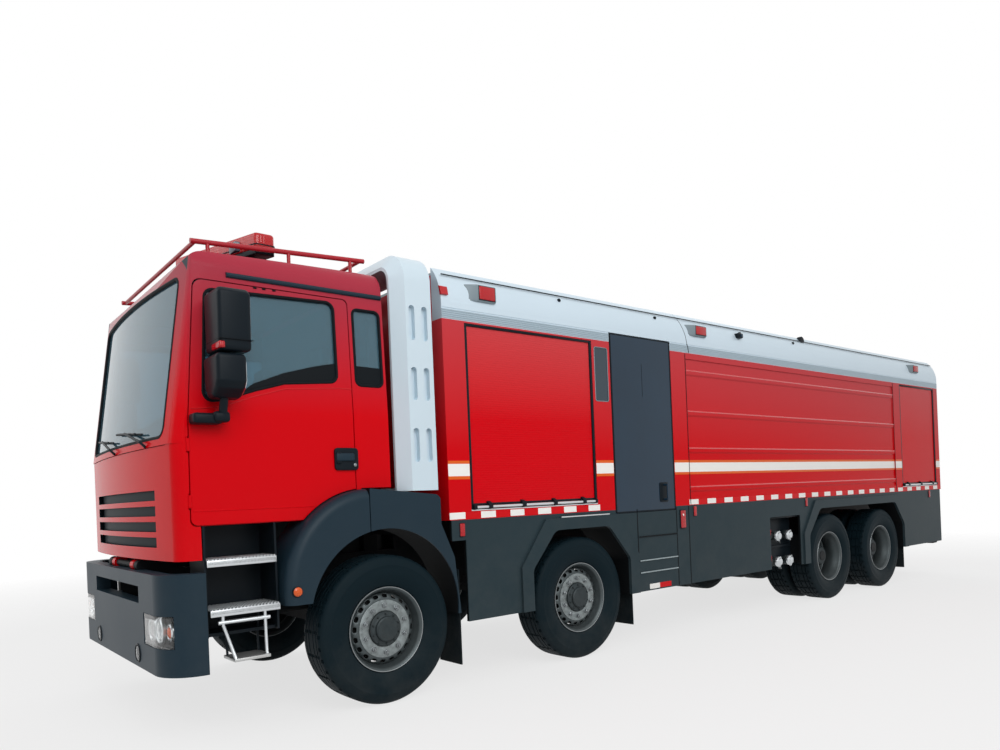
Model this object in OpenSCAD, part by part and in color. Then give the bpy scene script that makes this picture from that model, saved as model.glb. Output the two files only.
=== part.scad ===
// Foam fire truck on an eight-wheel chassis, in millimetres.
// X runs forward, Y to the truck's left, Z up; the origin is on the ground under the middle.
// Stations are distances behind axle 1, so st(545) is the front of the body.

/* [Piece] */
// Piece to build

/* [Wheels and axles] */
// Bumper face to axle 1
front_overhang = 1500; // [1350:10:1600]
// Between the two steered axles
steer_spread = 1950; // [1800:10:2100]
// Axle 2 to axle 3
wheelbase = 4425; // [4000:25:5200]
// Between the two driven axles
bogie_spread = 1400; // [1350:10:1450]
// Axle 4 to the underrun bar
rear_overhang = 2025; // [1800:25:2300]
// Tyre diameter
tyre_d = 1060; // [1020:10:1080]
// Tyre width
tyre_w = 310; // [290:5:320]
// Rim bead diameter
rim_d = 572; // [570:1:575]
// Wheel bolt circle
bolt_circle_d = 335; // [335:1:336]
// Wheel bolts
wheel_bolts = 10; // [8:1:10]
// Outer tyre's middle from the centreline
track_y = 1070; // [1040:5:1090]
// Twin tyre spacing
twin_pitch = 350; // [340:5:360]
// Kingpin from the centreline
kingpin_y = 955; // [930:5:960]
// Kingpin diameter
kingpin_d = 40; // [36:1:44]
// Front spindle diameter
spindle_d = 90; // [80:2:96]
// Rear axle spindle diameter
axle_end_d = 120; // [110:2:126]
// Radial clearance of running fits
fit = 0.08; // [0.02:0.01:0.1]

/* [Frame] */
// Over the frame rails
frame_w = 800; // [760:10:860]
// Underside of the rails
frame_z = 760; // [720:10:800]
// Rail height
rail_h = 280; // [250:10:300]
// Rail flange width
rail_w = 80; // [70:5:90]
// Rail wall
rail_t = 10; // [8:1:12]

/* [Cab] */
// Cab width
cab_w = 2260; // [2200:10:2300]
// Cab front ahead of axle 1
cab_nose = 1465; // [1440:5:1480]
// Cab back behind axle 1
cab_back = 115; // [100:5:130]
// Underside of the cab
cab_z = 1335; // [1300:5:1370]
// Roof at the back of the cab
cab_roof_z = 3130; // [3080:10:3180]
// Height where the windscreen starts
cowl_z = 1850; // [1800:10:1900]
// Windscreen lean, degrees
screen_lean = 7.9; // [5:0.1:10]
// Cab wall
cab_t = 45; // [40:1:55]
// Gap round the cab doors
door_gap = 7; // [6:0.5:10]
// Cab tilt pin diameter
tilt_pin_d = 50; // [40:2:56]

/* [Body] */
// Body width
body_w = 2500; // [2400:10:2500]
// Body front, behind axle 1
body_front = 545; // [530:5:600]
// Front end of the tank panel
tank_front = 3470; // [3400:10:3550]
// Rear end of the tank panel
tank_rear = 8250; // [8000:50:8400]
// Back wall of the body
body_rear = 9740; // [9600:10:9760]
// Underside of the red panels
panel_z = 1277; // [1250:1:1300]
// Top of the red panels
panel_top_z = 2809; // [2750:1:2850]
// Roof edge of the coving
roof_z = 3220; // [3150:5:3260]
// Underside of the skirts
skirt_z = 495; // [450:5:550]
// Body wall
wall_t = 60; // [40:5:70]
// Shutter slat pitch
slat_pitch = 60; // [40:5:100]

/* [Water fittings] */
// Coupling cap diameter
coupling_cap_d = 115; // [100:5:160]
// Monitor barrel length
barrel_l = 900; // [700:50:1000]
// Monitor barrel bore
barrel_bore_d = 60; // [50:5:80]
// Towing pin bore
tow_bore_d = 40; // [30:1:50]

/* [Hidden] */
$fn = 64;
length = front_overhang + steer_spread + wheelbase + bogie_spread + rear_overhang;
x1 = length / 2 - front_overhang;
x2 = x1 - steer_spread;
x3 = x2 - wheelbase;
x4 = x3 - bogie_spread;
hub_z = tyre_d / 2;
side_y = body_w / 2;
cab_y = cab_w / 2;
rail_y = frame_w / 2;
frame_top = frame_z + rail_h;
eps = 0.5;
tail_s = length - front_overhang;
frame_end_s = body_rear - 140;
axle_4_s = steer_spread + wheelbase + bogie_spread;
nose_x = x1 + cab_nose;

black = "#202326";
dark = "#3a4044";
red = "#c8151b";
silver = "#c9ccce";
steel = "#8a8f94";
rubber = "#17181a";
glass = "#5a6a70";

function st(s) = x1 - s;
function unit(v) = v / norm(v);
function turn(a, v, b) = (v[0] - a[0]) * (b[1] - v[1]) - (v[1] - a[1]) * (b[0] - v[0]);

// Points of the arc that rounds the corner at v by r, in n chords
function bend(a, v, b, r, n) = let (u = unit(a - v), w = unit(b - v), half = acos(u * w) / 2,
    c = v + unit(u + w) * r / sin(half), out = atan2(v[1] - c[1], v[0] - c[0]), way = sign(turn(a, v, b)))
    [for (i = [0:n]) let (t = out + way * (90 - half) * (2 * i / n - 1)) c + r * [cos(t), sin(t)]];

// A polygon's points with each corner rounded by its own radius, in n chords
function rounded(pts, radii, n) = let (k = len(pts)) [for (i = [0:k - 1])
    each radii[i] > 0 ? bend(pts[(i + k - 1) % k], pts[i], pts[(i + 1) % k], radii[i], n) : [pts[i]]];

// What lies between a corner and the arc that rounds it, carried a little past the corner
module corner(a, v, b, r) {
    u = unit(a - v);
    w = unit(b - v);
    half = acos(u * w) / 2;
    c = v + unit(u + w) * r / sin(half);
    ta = v + u * r / tan(half);
    tb = v + w * r / tan(half);
    past = (v - c) * 0.1;
    difference() {
        polygon([c, ta, ta + past, v + past, tb + past, tb]);
        translate(c) circle(r);
    }
}

// Polygon listed anticlockwise with each corner rounded by its own radius
module outline(pts, radii) {
    n = len(pts);
    difference() {
        union() {
            polygon(pts);
            for (i = [0:n - 1])
                if (radii[i] > 0 && turn(pts[(i + n - 1) % n], pts[i], pts[(i + 1) % n]) < 0)
                    corner(pts[(i + n - 1) % n], pts[i], pts[(i + 1) % n], radii[i]);
        }
        for (i = [0:n - 1])
            if (radii[i] > 0 && turn(pts[(i + n - 1) % n], pts[i], pts[(i + 1) % n]) > 0)
                corner(pts[(i + n - 1) % n], pts[i], pts[(i + 1) % n], radii[i]);
    }
}

// Rectangle between two corners with one radius all round
module panel(a, b, r = 0) {
    outline([a, [b[0], a[1]], b, [a[0], b[1]]], [r, r, r, r]);
}

// Side outline in (x, z), thick from y0 to y1
module slab(y0, y1) {
    translate([0, y1, 0]) rotate([90, 0, 0]) linear_extrude(y1 - y0) children();
}

// Cross-section in (y, z), long from x0 to x1
module run(xa, xb) {
    translate([xa, 0, 0]) rotate([90, 0, 90]) linear_extrude(xb - xa) children();
}

// Box between two opposite corners
module block(a, b) {
    translate([min(a[0], b[0]), min(a[1], b[1]), min(a[2], b[2])])
        cube([abs(b[0] - a[0]), abs(b[1] - a[1]), abs(b[2] - a[2])]);
}

// Bar along Y
module rod(x, z, y0, y1, d) {
    translate([x, y0, z]) rotate([-90, 0, 0]) cylinder(h = y1 - y0, d = d);
}

// Solid of revolution about Y from a profile of (radius, y)
module turned(x, y, z, steps = 96) {
    translate([x, y, z]) rotate([-90, 0, 0]) rotate_extrude($fn = steps) children();
}

module both() {
    children();
    mirror([0, 1, 0]) children();
}

bearer_s = [body_front + 15, frame_end_s];
crossmembers = [1650, 2700, 4300, 5500, axle_4_s - bogie_spread / 2, 8600, frame_end_s - 100];
tilt_x = nose_x - 50;
tilt_z = 1075;
frame_front = x1 + front_overhang - 120;
tilt_bracket_y = [320, 400];
hoop_post_s = [280, 400];

module chassis_frame() color(black) {
    both() {
        difference() {
            block([st(frame_end_s), rail_y - rail_w, frame_z], [frame_front, rail_y, frame_top]);
            block([st(frame_end_s) - 1, rail_y - rail_w - 1, frame_z + rail_t],
                  [frame_front + 1, rail_y - rail_t, frame_top - rail_t]);
        }
        block([st(bearer_s[1]), rail_y - rail_w, frame_top - eps], [st(bearer_s[0]), rail_y, panel_z]);
        block([st(hoop_post_s[1]), rail_y - rail_w, frame_top - eps], [st(hoop_post_s[0]), rail_y, 1460]);
        difference() {
            slab(tilt_bracket_y[0], tilt_bracket_y[1]) union() {
                polygon([[tilt_x - 235, frame_top - eps], [tilt_x - 35, frame_top - eps],
                         [tilt_x - 20, tilt_z + 30],
                         [tilt_x - 60, tilt_z + 30]]);
                translate([tilt_x, tilt_z]) circle(d = 76);
            }
            block([tilt_x - 35, 0, 0], [tilt_x + 185, 500, tilt_z - 38 + eps]);
        }
    }
    for (s = crossmembers)
        block([st(s) - 50, -rail_y + rail_t / 2, 880], [st(s) + 50, rail_y - rail_t / 2, 1020]);
    block([st(hoop_post_s[1]), -890, 1440], [st(hoop_post_s[0]), 890, hoop_foot_z]);
    rod(tilt_x, tilt_z, -330, 330, tilt_pin_d);
}

beam_h = [480, 580];
spring_y = [320, 400];
spring_mid_z = 670;
spring_t = 60;
spring_half_l = 750;
spring_r = 6272;
bogie_spring_r = 4113;

module front_axles() color(dark)
    for (x = [x1, x2]) difference() {
        union() {
            block([x - 50, -kingpin_y + 15, beam_h[0]], [x + 50, kingpin_y - 15, beam_h[1]]);
            both() {
                translate([x, kingpin_y, hub_z - 65]) cylinder(h = 130, d = 76);
                block([x - 70, spring_y[0], beam_h[1] - eps], [x + 70, spring_y[1], spring_mid_z - spring_t / 2]);
            }
        }
        both() translate([x, kingpin_y, 0]) cylinder(h = 1000, d = kingpin_d + 2 * fit);
    }

module drive_axles() color(dark) {
    for (x = [x3, x4]) {
        rod(x, hub_z, -track_y + twin_pitch + 190, track_y - twin_pitch - 190, 190);
        rod(x, hub_z, -track_y - 30, track_y + 30, axle_end_d);
        translate([x, 0, hub_z]) sphere(d = 430);
    }
    shaft(st(1410), 800, x3 + 150, hub_z + 30, 110);
    shaft(x3, hub_z + 60, x4, hub_z + 60, 100);
}

// Propeller shaft between two points on the centreline
module shaft(xa, za, xb, zb, d) {
    l = norm([xb - xa, zb - za]);
    translate([xb, 0, zb]) rotate([0, 90 - atan2(za - zb, xa - xb), 0]) cylinder(h = l, d = d);
}

module leaf_springs() color(steel) both() {
    for (x = [x1, x2]) slab(spring_y[0], spring_y[1]) union() {
        intersection() {
            translate([x, spring_mid_z + spring_r]) difference() {
                circle(spring_r + spring_t / 2, $fn = 200);
                circle(spring_r - spring_t / 2, $fn = 200);
            }
            panel([x - spring_half_l, 600], [x + spring_half_l, frame_z]);
        }
        for (e = [-1, 1]) panel([x + e * 720 - 30, 700], [x + e * 720 + 30, frame_z]);
    }
    slab(spring_y[0], spring_y[1]) union() {
        intersection() {
            translate([(x3 + x4) / 2, 717.4 - bogie_spring_r]) difference() {
                circle(bogie_spring_r + spring_t / 2, $fn = 200);
                circle(bogie_spring_r - spring_t / 2, $fn = 200);
            }
            panel([x4 - 40, 600], [x3 + 40, frame_z]);
        }
        panel([(x3 + x4) / 2 - 120, 700], [(x3 + x4) / 2 + 120, frame_z]);
    }
}

module engine_block() color(steel) {
    block([st(500), -300, 620], [st(-900), 300, 1430]);
    both() block([st(-300), 290, frame_top], [st(-460), 370, frame_top + 40]);
    block([st(1400), -200, 640], [st(500) + eps, 200, 960]);
}

module chassis_tanks() color(steel) both()
    run(st(4700), st(3650)) panel([rail_y, 600], [1000, 1150], 70);

bumper_z = [430, 1050];
bumper_y = 1190;
bumper_x = x1 + front_overhang;
lamp_y = [720, 1120];
lamp_z = [600, 800];

module bumper_plan(i) outline([[bumper_x - 250 - i, -bumper_y + i], [bumper_x - i, -bumper_y + i],
    [bumper_x - i, bumper_y - i], [bumper_x - 250 - i, bumper_y - i]], [0, 240 - i, 240 - i, 0]);

module lamp_zone() intersection() {
    translate([0, 0, lamp_z[0]]) linear_extrude(lamp_z[1] - lamp_z[0]) difference() {
        bumper_plan(0);
        bumper_plan(60);
    }
    both() block([bumper_x - 170, lamp_y[0], 0], [bumper_x + 100, lamp_y[1], 2000]);
}

module front_bumper() color(dark) difference() {
    union() {
        translate([0, 0, bumper_z[0]]) linear_extrude(bumper_z[1] - bumper_z[0]) difference() {
            bumper_plan(0);
            bumper_plan(100);
        }
        both() block([frame_front, rail_y - rail_w, frame_z + 10], [bumper_x - 98, rail_y, frame_top - 40]);
    }
    lamp_zone();
    slab(-620, 620) panel([bumper_x - 200, 850], [bumper_x + 100, 960], 40);
    both() rod(tilt_x, tilt_z, 200, 410, 92);
}

arch_c = [0, 650];
arch_r = 600;
fender_c = [90, 870];
fender_r = 668;
fender_y = [900, 1245];
fender_split = 128;
fender_front_z = 788;

// Front half of the first wheel's fender, turned about its own centre
module cab_fenders() color(dark) both() difference() {
    intersection() {
        turned(x1 + fender_c[0], 0, fender_c[1], 200) difference() {
            outline([[0, fender_y[0]], [fender_r, fender_y[0]], [fender_r, fender_y[1]], [0, fender_y[1]]],
                    [0, 0, 70, 0]);
            panel([-1, fender_y[0] - 1], [fender_r - 22, fender_y[1] - 40]);
        }
        block([x1 + fender_split + 5, 0, fender_front_z], [x1 + 900, 2000, 2000]);
    }
    rod(x1 + arch_c[0], arch_c[1], 0, 2000, 2 * arch_r);
}

guard = [[126, 1538], [-440, 1480], [-470, 1450], [-470, 1256], [-580, 1000], [-622, 570], [-560, 570],
         [-200, 700], [126, 900]];

guard_hollow = [[140, 1512], [-430, 1454], [-446, 1440], [-446, 1290], [-300, 1236], [0, 1275], [140, 1265]];

module guard_side() outline([for (p = guard) [x1 + p[0], p[1]]], [0, 30, 10, 20, 0, 0, 0, 0, 0]);

// Rear half of the first wheel's fender, on the chassis
module mudguards() color(dark) both() {
    difference() {
        slab(fender_y[0], fender_y[1]) guard_side();
        rod(x1 + arch_c[0], arch_c[1], 0, 2000, 2 * arch_r);
        slab(fender_y[0] - 1, 1205) polygon([for (p = guard_hollow) [x1 + p[0], p[1]]]);
    }
    block([st(370), rail_y, 1180], [st(310), fender_y[0] + 60, 1215]);
}

// Flap table: station of the axle, face and carrier behind it, inner y, foot and top height
flap_y = side_y - 35;
flaps = [[0, 622, 622, 930, 170, 900],
    [steer_spread, 656, 614, 890, 200, 820], [axle_4_s, 655, 614, 600, 200, 820]];

module mud_flaps() color(rubber) both() for (f = flaps) {
    block([st(f[0] + f[1] + 12), f[3], f[4]], [st(f[0] + f[1]), flap_y, f[5]]);
    block([st(f[0] + f[1] + 12), max(f[3], 890), f[5] - 30], [st(f[0] + f[2]), flap_y, f[5]]);
}

hoop_out = [1250, 3275];
hoop_s = [150, 226, 450];
hoop_t = 120;
hoop_bevel = 96;
hoop_corner_r = 220;
hoop_foot_z = 1512;
slot_s = [278, 388];
slot_z = [[1721, 1970], [2175, 2417], [2615, 2871]];
slot_w = 48;

// Hoop section in (radius, x): outer radius r, front edge bevelled
module hoop_section(r) polygon([[r, st(hoop_s[2])], [r, st(hoop_s[1])], [r - hoop_bevel, st(hoop_s[0])],
    [r - hoop_t, st(hoop_s[0])], [r - hoop_t, st(hoop_s[2])]]);

module cab_hoop() color(silver) difference() {
    corner_y = hoop_out[0] - hoop_corner_r;
    corner_z = hoop_out[1] - hoop_corner_r;
    union() {
        both() {
            translate([0, 0, hoop_foot_z]) linear_extrude(corner_z - hoop_foot_z + eps)
                mirror([1, -1]) hoop_section(hoop_out[0]);
            translate([0, corner_y, corner_z]) intersection() {
                rotate([0, 90, 0]) rotate_extrude() hoop_section(hoop_corner_r);
                block([-99999, 0, 0], [99999, 999, 999]);
            }
        }
        translate([0, corner_y + eps, 0]) rotate([90, 0, 0]) linear_extrude(2 * corner_y + 2 * eps)
            mirror([1, -1]) hoop_section(hoop_out[1]);
        both() block([st(hoop_post_s[1]), 700, hoop_foot_z], [st(hoop_post_s[0]), 1140, hoop_foot_z + 30]);
    }
    both() for (s = slot_s, z = slot_z) slab(hoop_out[0] - 40, hoop_out[0] + 5)
        panel([st(s) - slot_w / 2, z[0]], [st(s) + slot_w / 2, z[1]], slot_w / 2 - 1);
}

crew_door_s = [tank_front - 1076, tank_front - 195];
shutter_s = [body_front + 208, crew_door_s[0] - 231];
shutter_z = [panel_z + 63, panel_top_z - 14];
rear_shutter_s = [tank_rear + 170, body_rear - 140];
back_shutter_y = 850;
crew_door_z = [panel_z - 37, panel_top_z + 87];
bay_roof_z = roof_z - 60;
coving_in_y = side_y - 123;

// Body shell between two stations: side walls, floor, roof and end walls
module bay(sa, sb) difference() {
    union() {
        block([st(sb), -side_y, panel_z], [st(sa), side_y, panel_top_z]);
        block([st(sb), -coving_in_y, panel_top_z - eps], [st(sa), coving_in_y, bay_roof_z]);
    }
    block([st(sb) + 40, -side_y + wall_t, panel_z + 40], [st(sa) - 40, side_y - wall_t, panel_top_z - 40]);
    block([st(sb) + 40, -coving_in_y + wall_t, panel_z + 40], [st(sa) - 40, coving_in_y - wall_t, bay_roof_z - 40]);
}

module equipment_bays() color(red) {
    difference() {
        bay(body_front, tank_front);
        both() {
            slab(side_y - wall_t - 1, side_y + 1)
                panel([st(shutter_s[1]), shutter_z[0]], [st(shutter_s[0]), shutter_z[1]]);
            slab(side_y - wall_t - 1, side_y + 1)
                panel([st(crew_door_s[1]) + 30, panel_z + 40], [st(crew_door_s[0]) - 30, panel_top_z - 40]);
            slab(side_y - 41, side_y + 1)
                panel([st(crew_door_s[1]), crew_door_z[0]], [st(crew_door_s[0]), crew_door_z[1]]);
            slab(side_y - 10, side_y + 1)
                panel([st(crew_door_s[0] - 27), panel_top_z - 551], [st(shutter_s[1] + 27), panel_top_z - 60], 20);
        }
    }
    difference() {
        bay(tank_rear, body_rear);
        both() slab(side_y - wall_t - 1, side_y + 1)
            panel([st(rear_shutter_s[1]), shutter_z[0]], [st(rear_shutter_s[0]), shutter_z[1]]);
        run(st(body_rear) - 1, st(body_rear) + 100)
            panel([-back_shutter_y, shutter_z[0]], [back_shutter_y, shutter_z[1]]);
    }
}

// Slatted curtain section: depth along the first axis, height along the second
module slats(z0, z1) {
    n = floor((z1 - z0) / slat_pitch);
    p = (z1 - z0) / n;
    polygon(concat([[0, z1], [0, z0]], [for (i = [0:n - 1]) each
        [[22, z0 + i * p], [30, z0 + i * p + 8], [30, z0 + (i + 1) * p - 8], [22, z0 + (i + 1) * p]]]));
}

bar_z = shutter_z[0] + 45;

module roller_shutters() color(red) {
    both() {
        run(st(shutter_s[1]), st(shutter_s[0])) translate([side_y - 42, 0]) slats(shutter_z[0], shutter_z[1]);
        run(st(rear_shutter_s[1]), st(rear_shutter_s[0]))
            translate([side_y - 42, 0]) slats(shutter_z[0], shutter_z[1]);
        lift_bar(shutter_s, 4);
        lift_bar(rear_shutter_s, 3);
    }
    translate([st(body_rear) + 42, back_shutter_y, 0]) rotate([90, 0, 0]) linear_extrude(2 * back_shutter_y)
        mirror([1, 0]) slats(shutter_z[0], shutter_z[1]);
}

module lift_bar(s, brackets) {
    step = (s[1] - s[0] - 300) / (brackets - 1);
    translate([st(s[1]) + 20, side_y + 12, bar_z]) rotate([0, 90, 0]) cylinder(h = s[1] - s[0] - 40, d = 32);
    for (i = [0:brackets - 1]) translate([st(s[0] + 150 + i * step), 0, bar_z])
        block([-20, side_y - 20, -28], [20, side_y + 14, 10]);
}

rib_z = [1440, 1830, 2201, 2612];
rib_h = 70;
hatch_s = 5200;
hatch_d = 500;
monitor_s = 2830;

module tank_module() color(red) difference() {
    union() {
        block([st(tank_rear), -side_y + 12, panel_z], [st(tank_front), side_y - 12, panel_top_z]);
        block([st(tank_rear), -coving_in_y, panel_top_z - eps], [st(tank_front), coving_in_y, bay_roof_z]);
        both() {
            slab(side_y - 13, side_y) difference() {
                panel([st(tank_rear), panel_z], [st(tank_front), panel_top_z]);
                panel([st(tank_rear - 40), panel_z + 90], [st(tank_front + 40), panel_top_z - 60], 25);
            }
            for (z = rib_z) run(st(tank_rear - 48), st(tank_front + 48)) polygon([[side_y - 13, z - rib_h / 2],
                [side_y - 1, z - rib_h / 2 + 18], [side_y - 1, z + rib_h / 2 - 18], [side_y - 13, z + rib_h / 2]]);
        }
    }
    block([st(tank_rear) + 50, -side_y + 60, panel_z + 50], [st(tank_front) - 50, side_y - 60, panel_top_z - 50]);
    block([st(tank_rear) + 50, -coving_in_y + 50, panel_z + 50], 
          [st(tank_front) - 50, coving_in_y - 50, bay_roof_z - 50]);
    translate([st(hatch_s), 0, 3000]) cylinder(h = 500, d = hatch_d);
}

coving_arc_c = [side_y - 400, panel_top_z + 122];
coving_arc_r = 400;
coving_low_z = panel_top_z + 134;
coving_step_z = panel_top_z + 84;

// Half of the coving section, convex from the side up to the roof edge
module coving_section() difference() {
    union() {
        panel([coving_in_y, panel_top_z], [side_y, coving_low_z]);
        intersection() {
            translate(coving_arc_c) circle(coving_arc_r, $fn = 240);
            panel([coving_in_y, coving_low_z - eps], [side_y + 50, roof_z]);
        }
    }
    panel([side_y - 4, coving_step_z - 4], [side_y + 5, coving_step_z + 4]);
}

module roof_covings() color(silver) both() difference() {
    run(st(body_rear), st(body_front)) coving_section();
    slab(1000, 2000) polygon([[st(tank_front - 8), roof_z + 80], [st(tank_front), roof_z + 80],
        [st(tank_front + 132), panel_top_z - 109], [st(tank_front + 124), panel_top_z - 109]]);
    slab(side_y - 41, 2000) panel([st(crew_door_s[1]), panel_top_z - 109], [st(crew_door_s[0]), crew_door_z[1]]);
    crew_pins(crew_pin[2] + 2 * fit);
}

deck_t = 20;
neck_h = 40;

module roof_deck() color(dark) difference() {
    union() {
        block([st(body_rear), -coving_in_y, bay_roof_z], [st(body_front), coving_in_y, bay_roof_z + deck_t]);
        translate([st(hatch_s), 0, bay_roof_z + deck_t - eps]) cylinder(h = neck_h + eps, d = hatch_d + 60);
        translate([st(hatch_s), 0, bay_roof_z + deck_t + neck_h - eps]) cylinder(h = 25, d = hatch_d + 80);
        translate([st(monitor_s), 0, bay_roof_z + deck_t - eps]) cylinder(h = 80 + eps, d = 260);
    }
    translate([st(hatch_s), 0, 3000]) cylinder(h = bay_roof_z + deck_t + neck_h - 3000, d = hatch_d);
    translate([st(monitor_s), 0, monitor_z - 60]) cylinder(h = 100, d = spigot_d + 2 * fit);
}

monitor_z = bay_roof_z + deck_t + 80;
barrel_z = monitor_z + 190;
trunnion_d = 60;
spigot_d = 100;

module monitor_turret() color(red) difference() {
    union() {
        translate([st(monitor_s), 0, monitor_z + 1]) cylinder(h = 80, d = 220);
        translate([st(monitor_s), 0, monitor_z - 50]) cylinder(h = 60, d = spigot_d);
        both() {
            slab(75, 110) union() {
                translate([st(monitor_s), barrel_z]) circle(d = 120);
                panel([st(monitor_s) - 60, monitor_z + 40], [st(monitor_s) + 60, barrel_z]);
            }
        }
    }
    rod(st(monitor_s), barrel_z, -300, 300, trunnion_d + 2 * fit);
}

module monitor_barrel() color(red) difference() {
    union() {
        rod(st(monitor_s), barrel_z, -110, 110, trunnion_d);
        rod(st(monitor_s), barrel_z, -70, 70, 130);
        translate([st(monitor_s) + 30, 0, barrel_z]) rotate([0, 90, 0]) cylinder(h = barrel_l - 230, d = 90);
        translate([st(monitor_s) + barrel_l - 220, 0, barrel_z]) rotate([0, 90, 0]) cylinder(h = 220, d = 120);
    }
    translate([st(monitor_s) + 100, 0, barrel_z]) rotate([0, 90, 0]) cylinder(h = barrel_l, d = barrel_bore_d);
}

// Coving lamps: station, length, foot and top above the panels
lamp_boxes = [[928, 280, 168, 300], [tank_front + 245, 298, 183, 296], [8900, 280, 183, 296]];
marker_lamps = [[655, 1200], [3571, 1215], [5750, 1225], [9300, 1215]];
tail_lamp_y = [905, 1165];
tail_lamp_z = [1300, 1440];

module lamps() {
    color(glass) lamp_zone();
    color(red) {
        both() for (l = lamp_boxes) run(st(l[0]) - l[1] / 2, st(l[0]) + l[1] / 2) difference() {
            panel([side_y - 90, panel_top_z + l[2]], [side_y + 30, panel_top_z + l[3]], 12);
            union() {
                coving_section();
                translate(coving_arc_c) circle(coving_arc_r, $fn = 240);
            }
        }
        both() for (m = marker_lamps)
            block([st(m[0]) - 20, side_y, m[1] - 42], [st(m[0]) + 20, side_y + 14, m[1] + 42]);
        both() block([st(body_rear), tail_lamp_y[0], tail_lamp_z[0]],
                     [st(body_rear) - 40, tail_lamp_y[1], tail_lamp_z[1]]);
    }
}

skirt_s = [690, body_rear - 40];
skirt_t = 30;
flare = 22;
arch_in = [600, 830, 330, 1139];
arch_out = [722, 860, 437, 1238];
step_box_s = [crew_door_s[1] - 585, crew_door_s[1]];
step_lines_z = [673, 785, 1009];
recess_s = [4950, 5600];
recess_z = [500, 1080];

// Six-sided arch over one wheel or a pair: knee half-width, knee height, top half-width, top height
function hexa(xa, xb, h, z0) = [[xb - h[0], z0], [xa + h[0], z0], [xa + h[0], h[1]], [xa + h[2], h[3]],
    [xb - h[2], h[3]], [xb - h[0], h[1]]];
hexa_r = [0, 0, 96, 112, 112, 96];

module flares(xa, xb) {
    slab(side_y - eps, side_y + flare) outline(hexa(xa, xb, arch_out, skirt_z), [0, 0, 30, 30, 30, 30]);
}

module arch_hole(xa, xb, y0, y1) slab(y0, y1) polygon(rounded(hexa(xa, xb, arch_in, skirt_z - 100), hexa_r, 8));

module side_skirts() color(dark) both() difference() {
    union() {
        slab(side_y - skirt_t, side_y) difference() {
            union() {
                panel([st(skirt_s[1]), skirt_z], [st(skirt_s[0]), panel_z]);
                panel([st(skirt_s[0]) - 1, 1120], [st(560), panel_z]);
            }
            panel([st(recess_s[1]), recess_z[0] - 200], [st(recess_s[0]), recess_z[1]], 20);
            panel([st(crew_door_s[1]), crew_door_z[0]], [st(crew_door_s[0]), panel_z + 10]);
        }
        for (p = [[x2, x2], [x3, x4]]) {
            flares(p[0], p[1]);
            intersection() {
                slab(880, side_y - skirt_t + eps) polygon(hexa(p[0], p[1], arch_in + [14, 8, 8, 14], skirt_z));
                block([-9999, 0, skirt_z], [9999, 2000, 2000]);
            }
        }
        for (z = step_lines_z)
            block([st(step_box_s[1]) + 10, side_y - 1, z - 6], [st(step_box_s[0]) - 10, side_y + 8, z + 6]);
    }
    crew_pins(crew_pin[2] + 2 * fit);
    arch_hole(x2, x2, 0, 2000);
    arch_hole(x3, x4, 0, 2000);
}

coupling_s = [5200, 5440];
coupling_z = [560, 855];
couplings_y = 1110;

module pump_couplings() color(silver) both() {
    block([st(recess_s[1]), couplings_y - 20, recess_z[0]], [st(recess_s[0]), couplings_y, recess_z[1]]);
    block([st(recess_s[1]), couplings_y - 20, recess_z[1] - 20], [st(recess_s[0]), side_y - skirt_t, recess_z[1]]);
    for (s = coupling_s, z = coupling_z) {
        rod(st(s), z, couplings_y - eps, side_y - 10, coupling_cap_d - 20);
        rod(st(s), z, side_y - 60, side_y - 20, coupling_cap_d);
    }
}

module rear_underrun() color(dark) difference() {
    union() {
        run(st(tail_s), st(tail_s - 110)) panel([-1150, 450], [1150, 570], 30);
        both() block([st(tail_s - 100), rail_y - rail_w, 540], [st(frame_end_s), rail_y, frame_top]);
        block([st(tail_s - 10), -70, 560], [st(frame_end_s), 70, 720]);
        block([st(frame_end_s + 10), -rail_y, 640], [st(frame_end_s), rail_y, frame_z]);
    }
    translate([st(tail_s - 50), 0, 400]) cylinder(h = 500, d = tow_bore_d);
    block([st(tail_s + 10), -80, 610], [st(tail_s - 100), 80, 670]);
}

module rear_ladder() color(silver) for (y = [-1190, -910]) {
    translate([st(body_rear + 32), y, 1500]) cylinder(h = 1780, d = 36);
    if (y < -1000) {
        for (z = [1620:280:3200]) rod(st(body_rear + 32), z, -1190, -910, 28);
        for (z = [1560, 2600], p = [-1190, -910])
            translate([st(body_rear) - 35, p, z]) rotate([0, 90, 0]) cylinder(h = 35, d = 24);
    }
}

screen_r = 9000;
cab_corner_r = 90;
screen_c = cab_nose - screen_r;
plan_y = cab_y + 4;
cab_corner = [screen_c + sqrt(pow(screen_r - cab_corner_r, 2) - pow(plan_y - cab_corner_r, 2)), plan_y - cab_corner_r];
cab_tangent = unit(cab_corner - [screen_c, 0]);
roof_front = [cab_nose - 240, 3068];
cowl_step = 6;

// Cab from above, measured from axle 1: a wide arc for the front, tangent corners, straight sides
module cab_plan(i, back) {
    translate([-back, -plan_y + i]) square([cab_corner[0] + back, 2 * (plan_y - i)]);
    for (e = [-1, 1]) translate([cab_corner[0], e * cab_corner[1]]) circle(cab_corner_r - i);
    intersection() {
        translate([screen_c, 0]) circle(screen_r - i, $fn = 360);
        polygon([[500, -cab_corner[1]], [cab_corner[0], -cab_corner[1]],
                 [cab_corner[0] + 1000 * cab_tangent[0], -cab_corner[1] - 1000 * cab_tangent[1]],
                 [cab_corner[0] + 1000 * cab_tangent[0], cab_corner[1] + 1000 * cab_tangent[1]],
                 [cab_corner[0], cab_corner[1]], [500, cab_corner[1]]]);
    }
}

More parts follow.
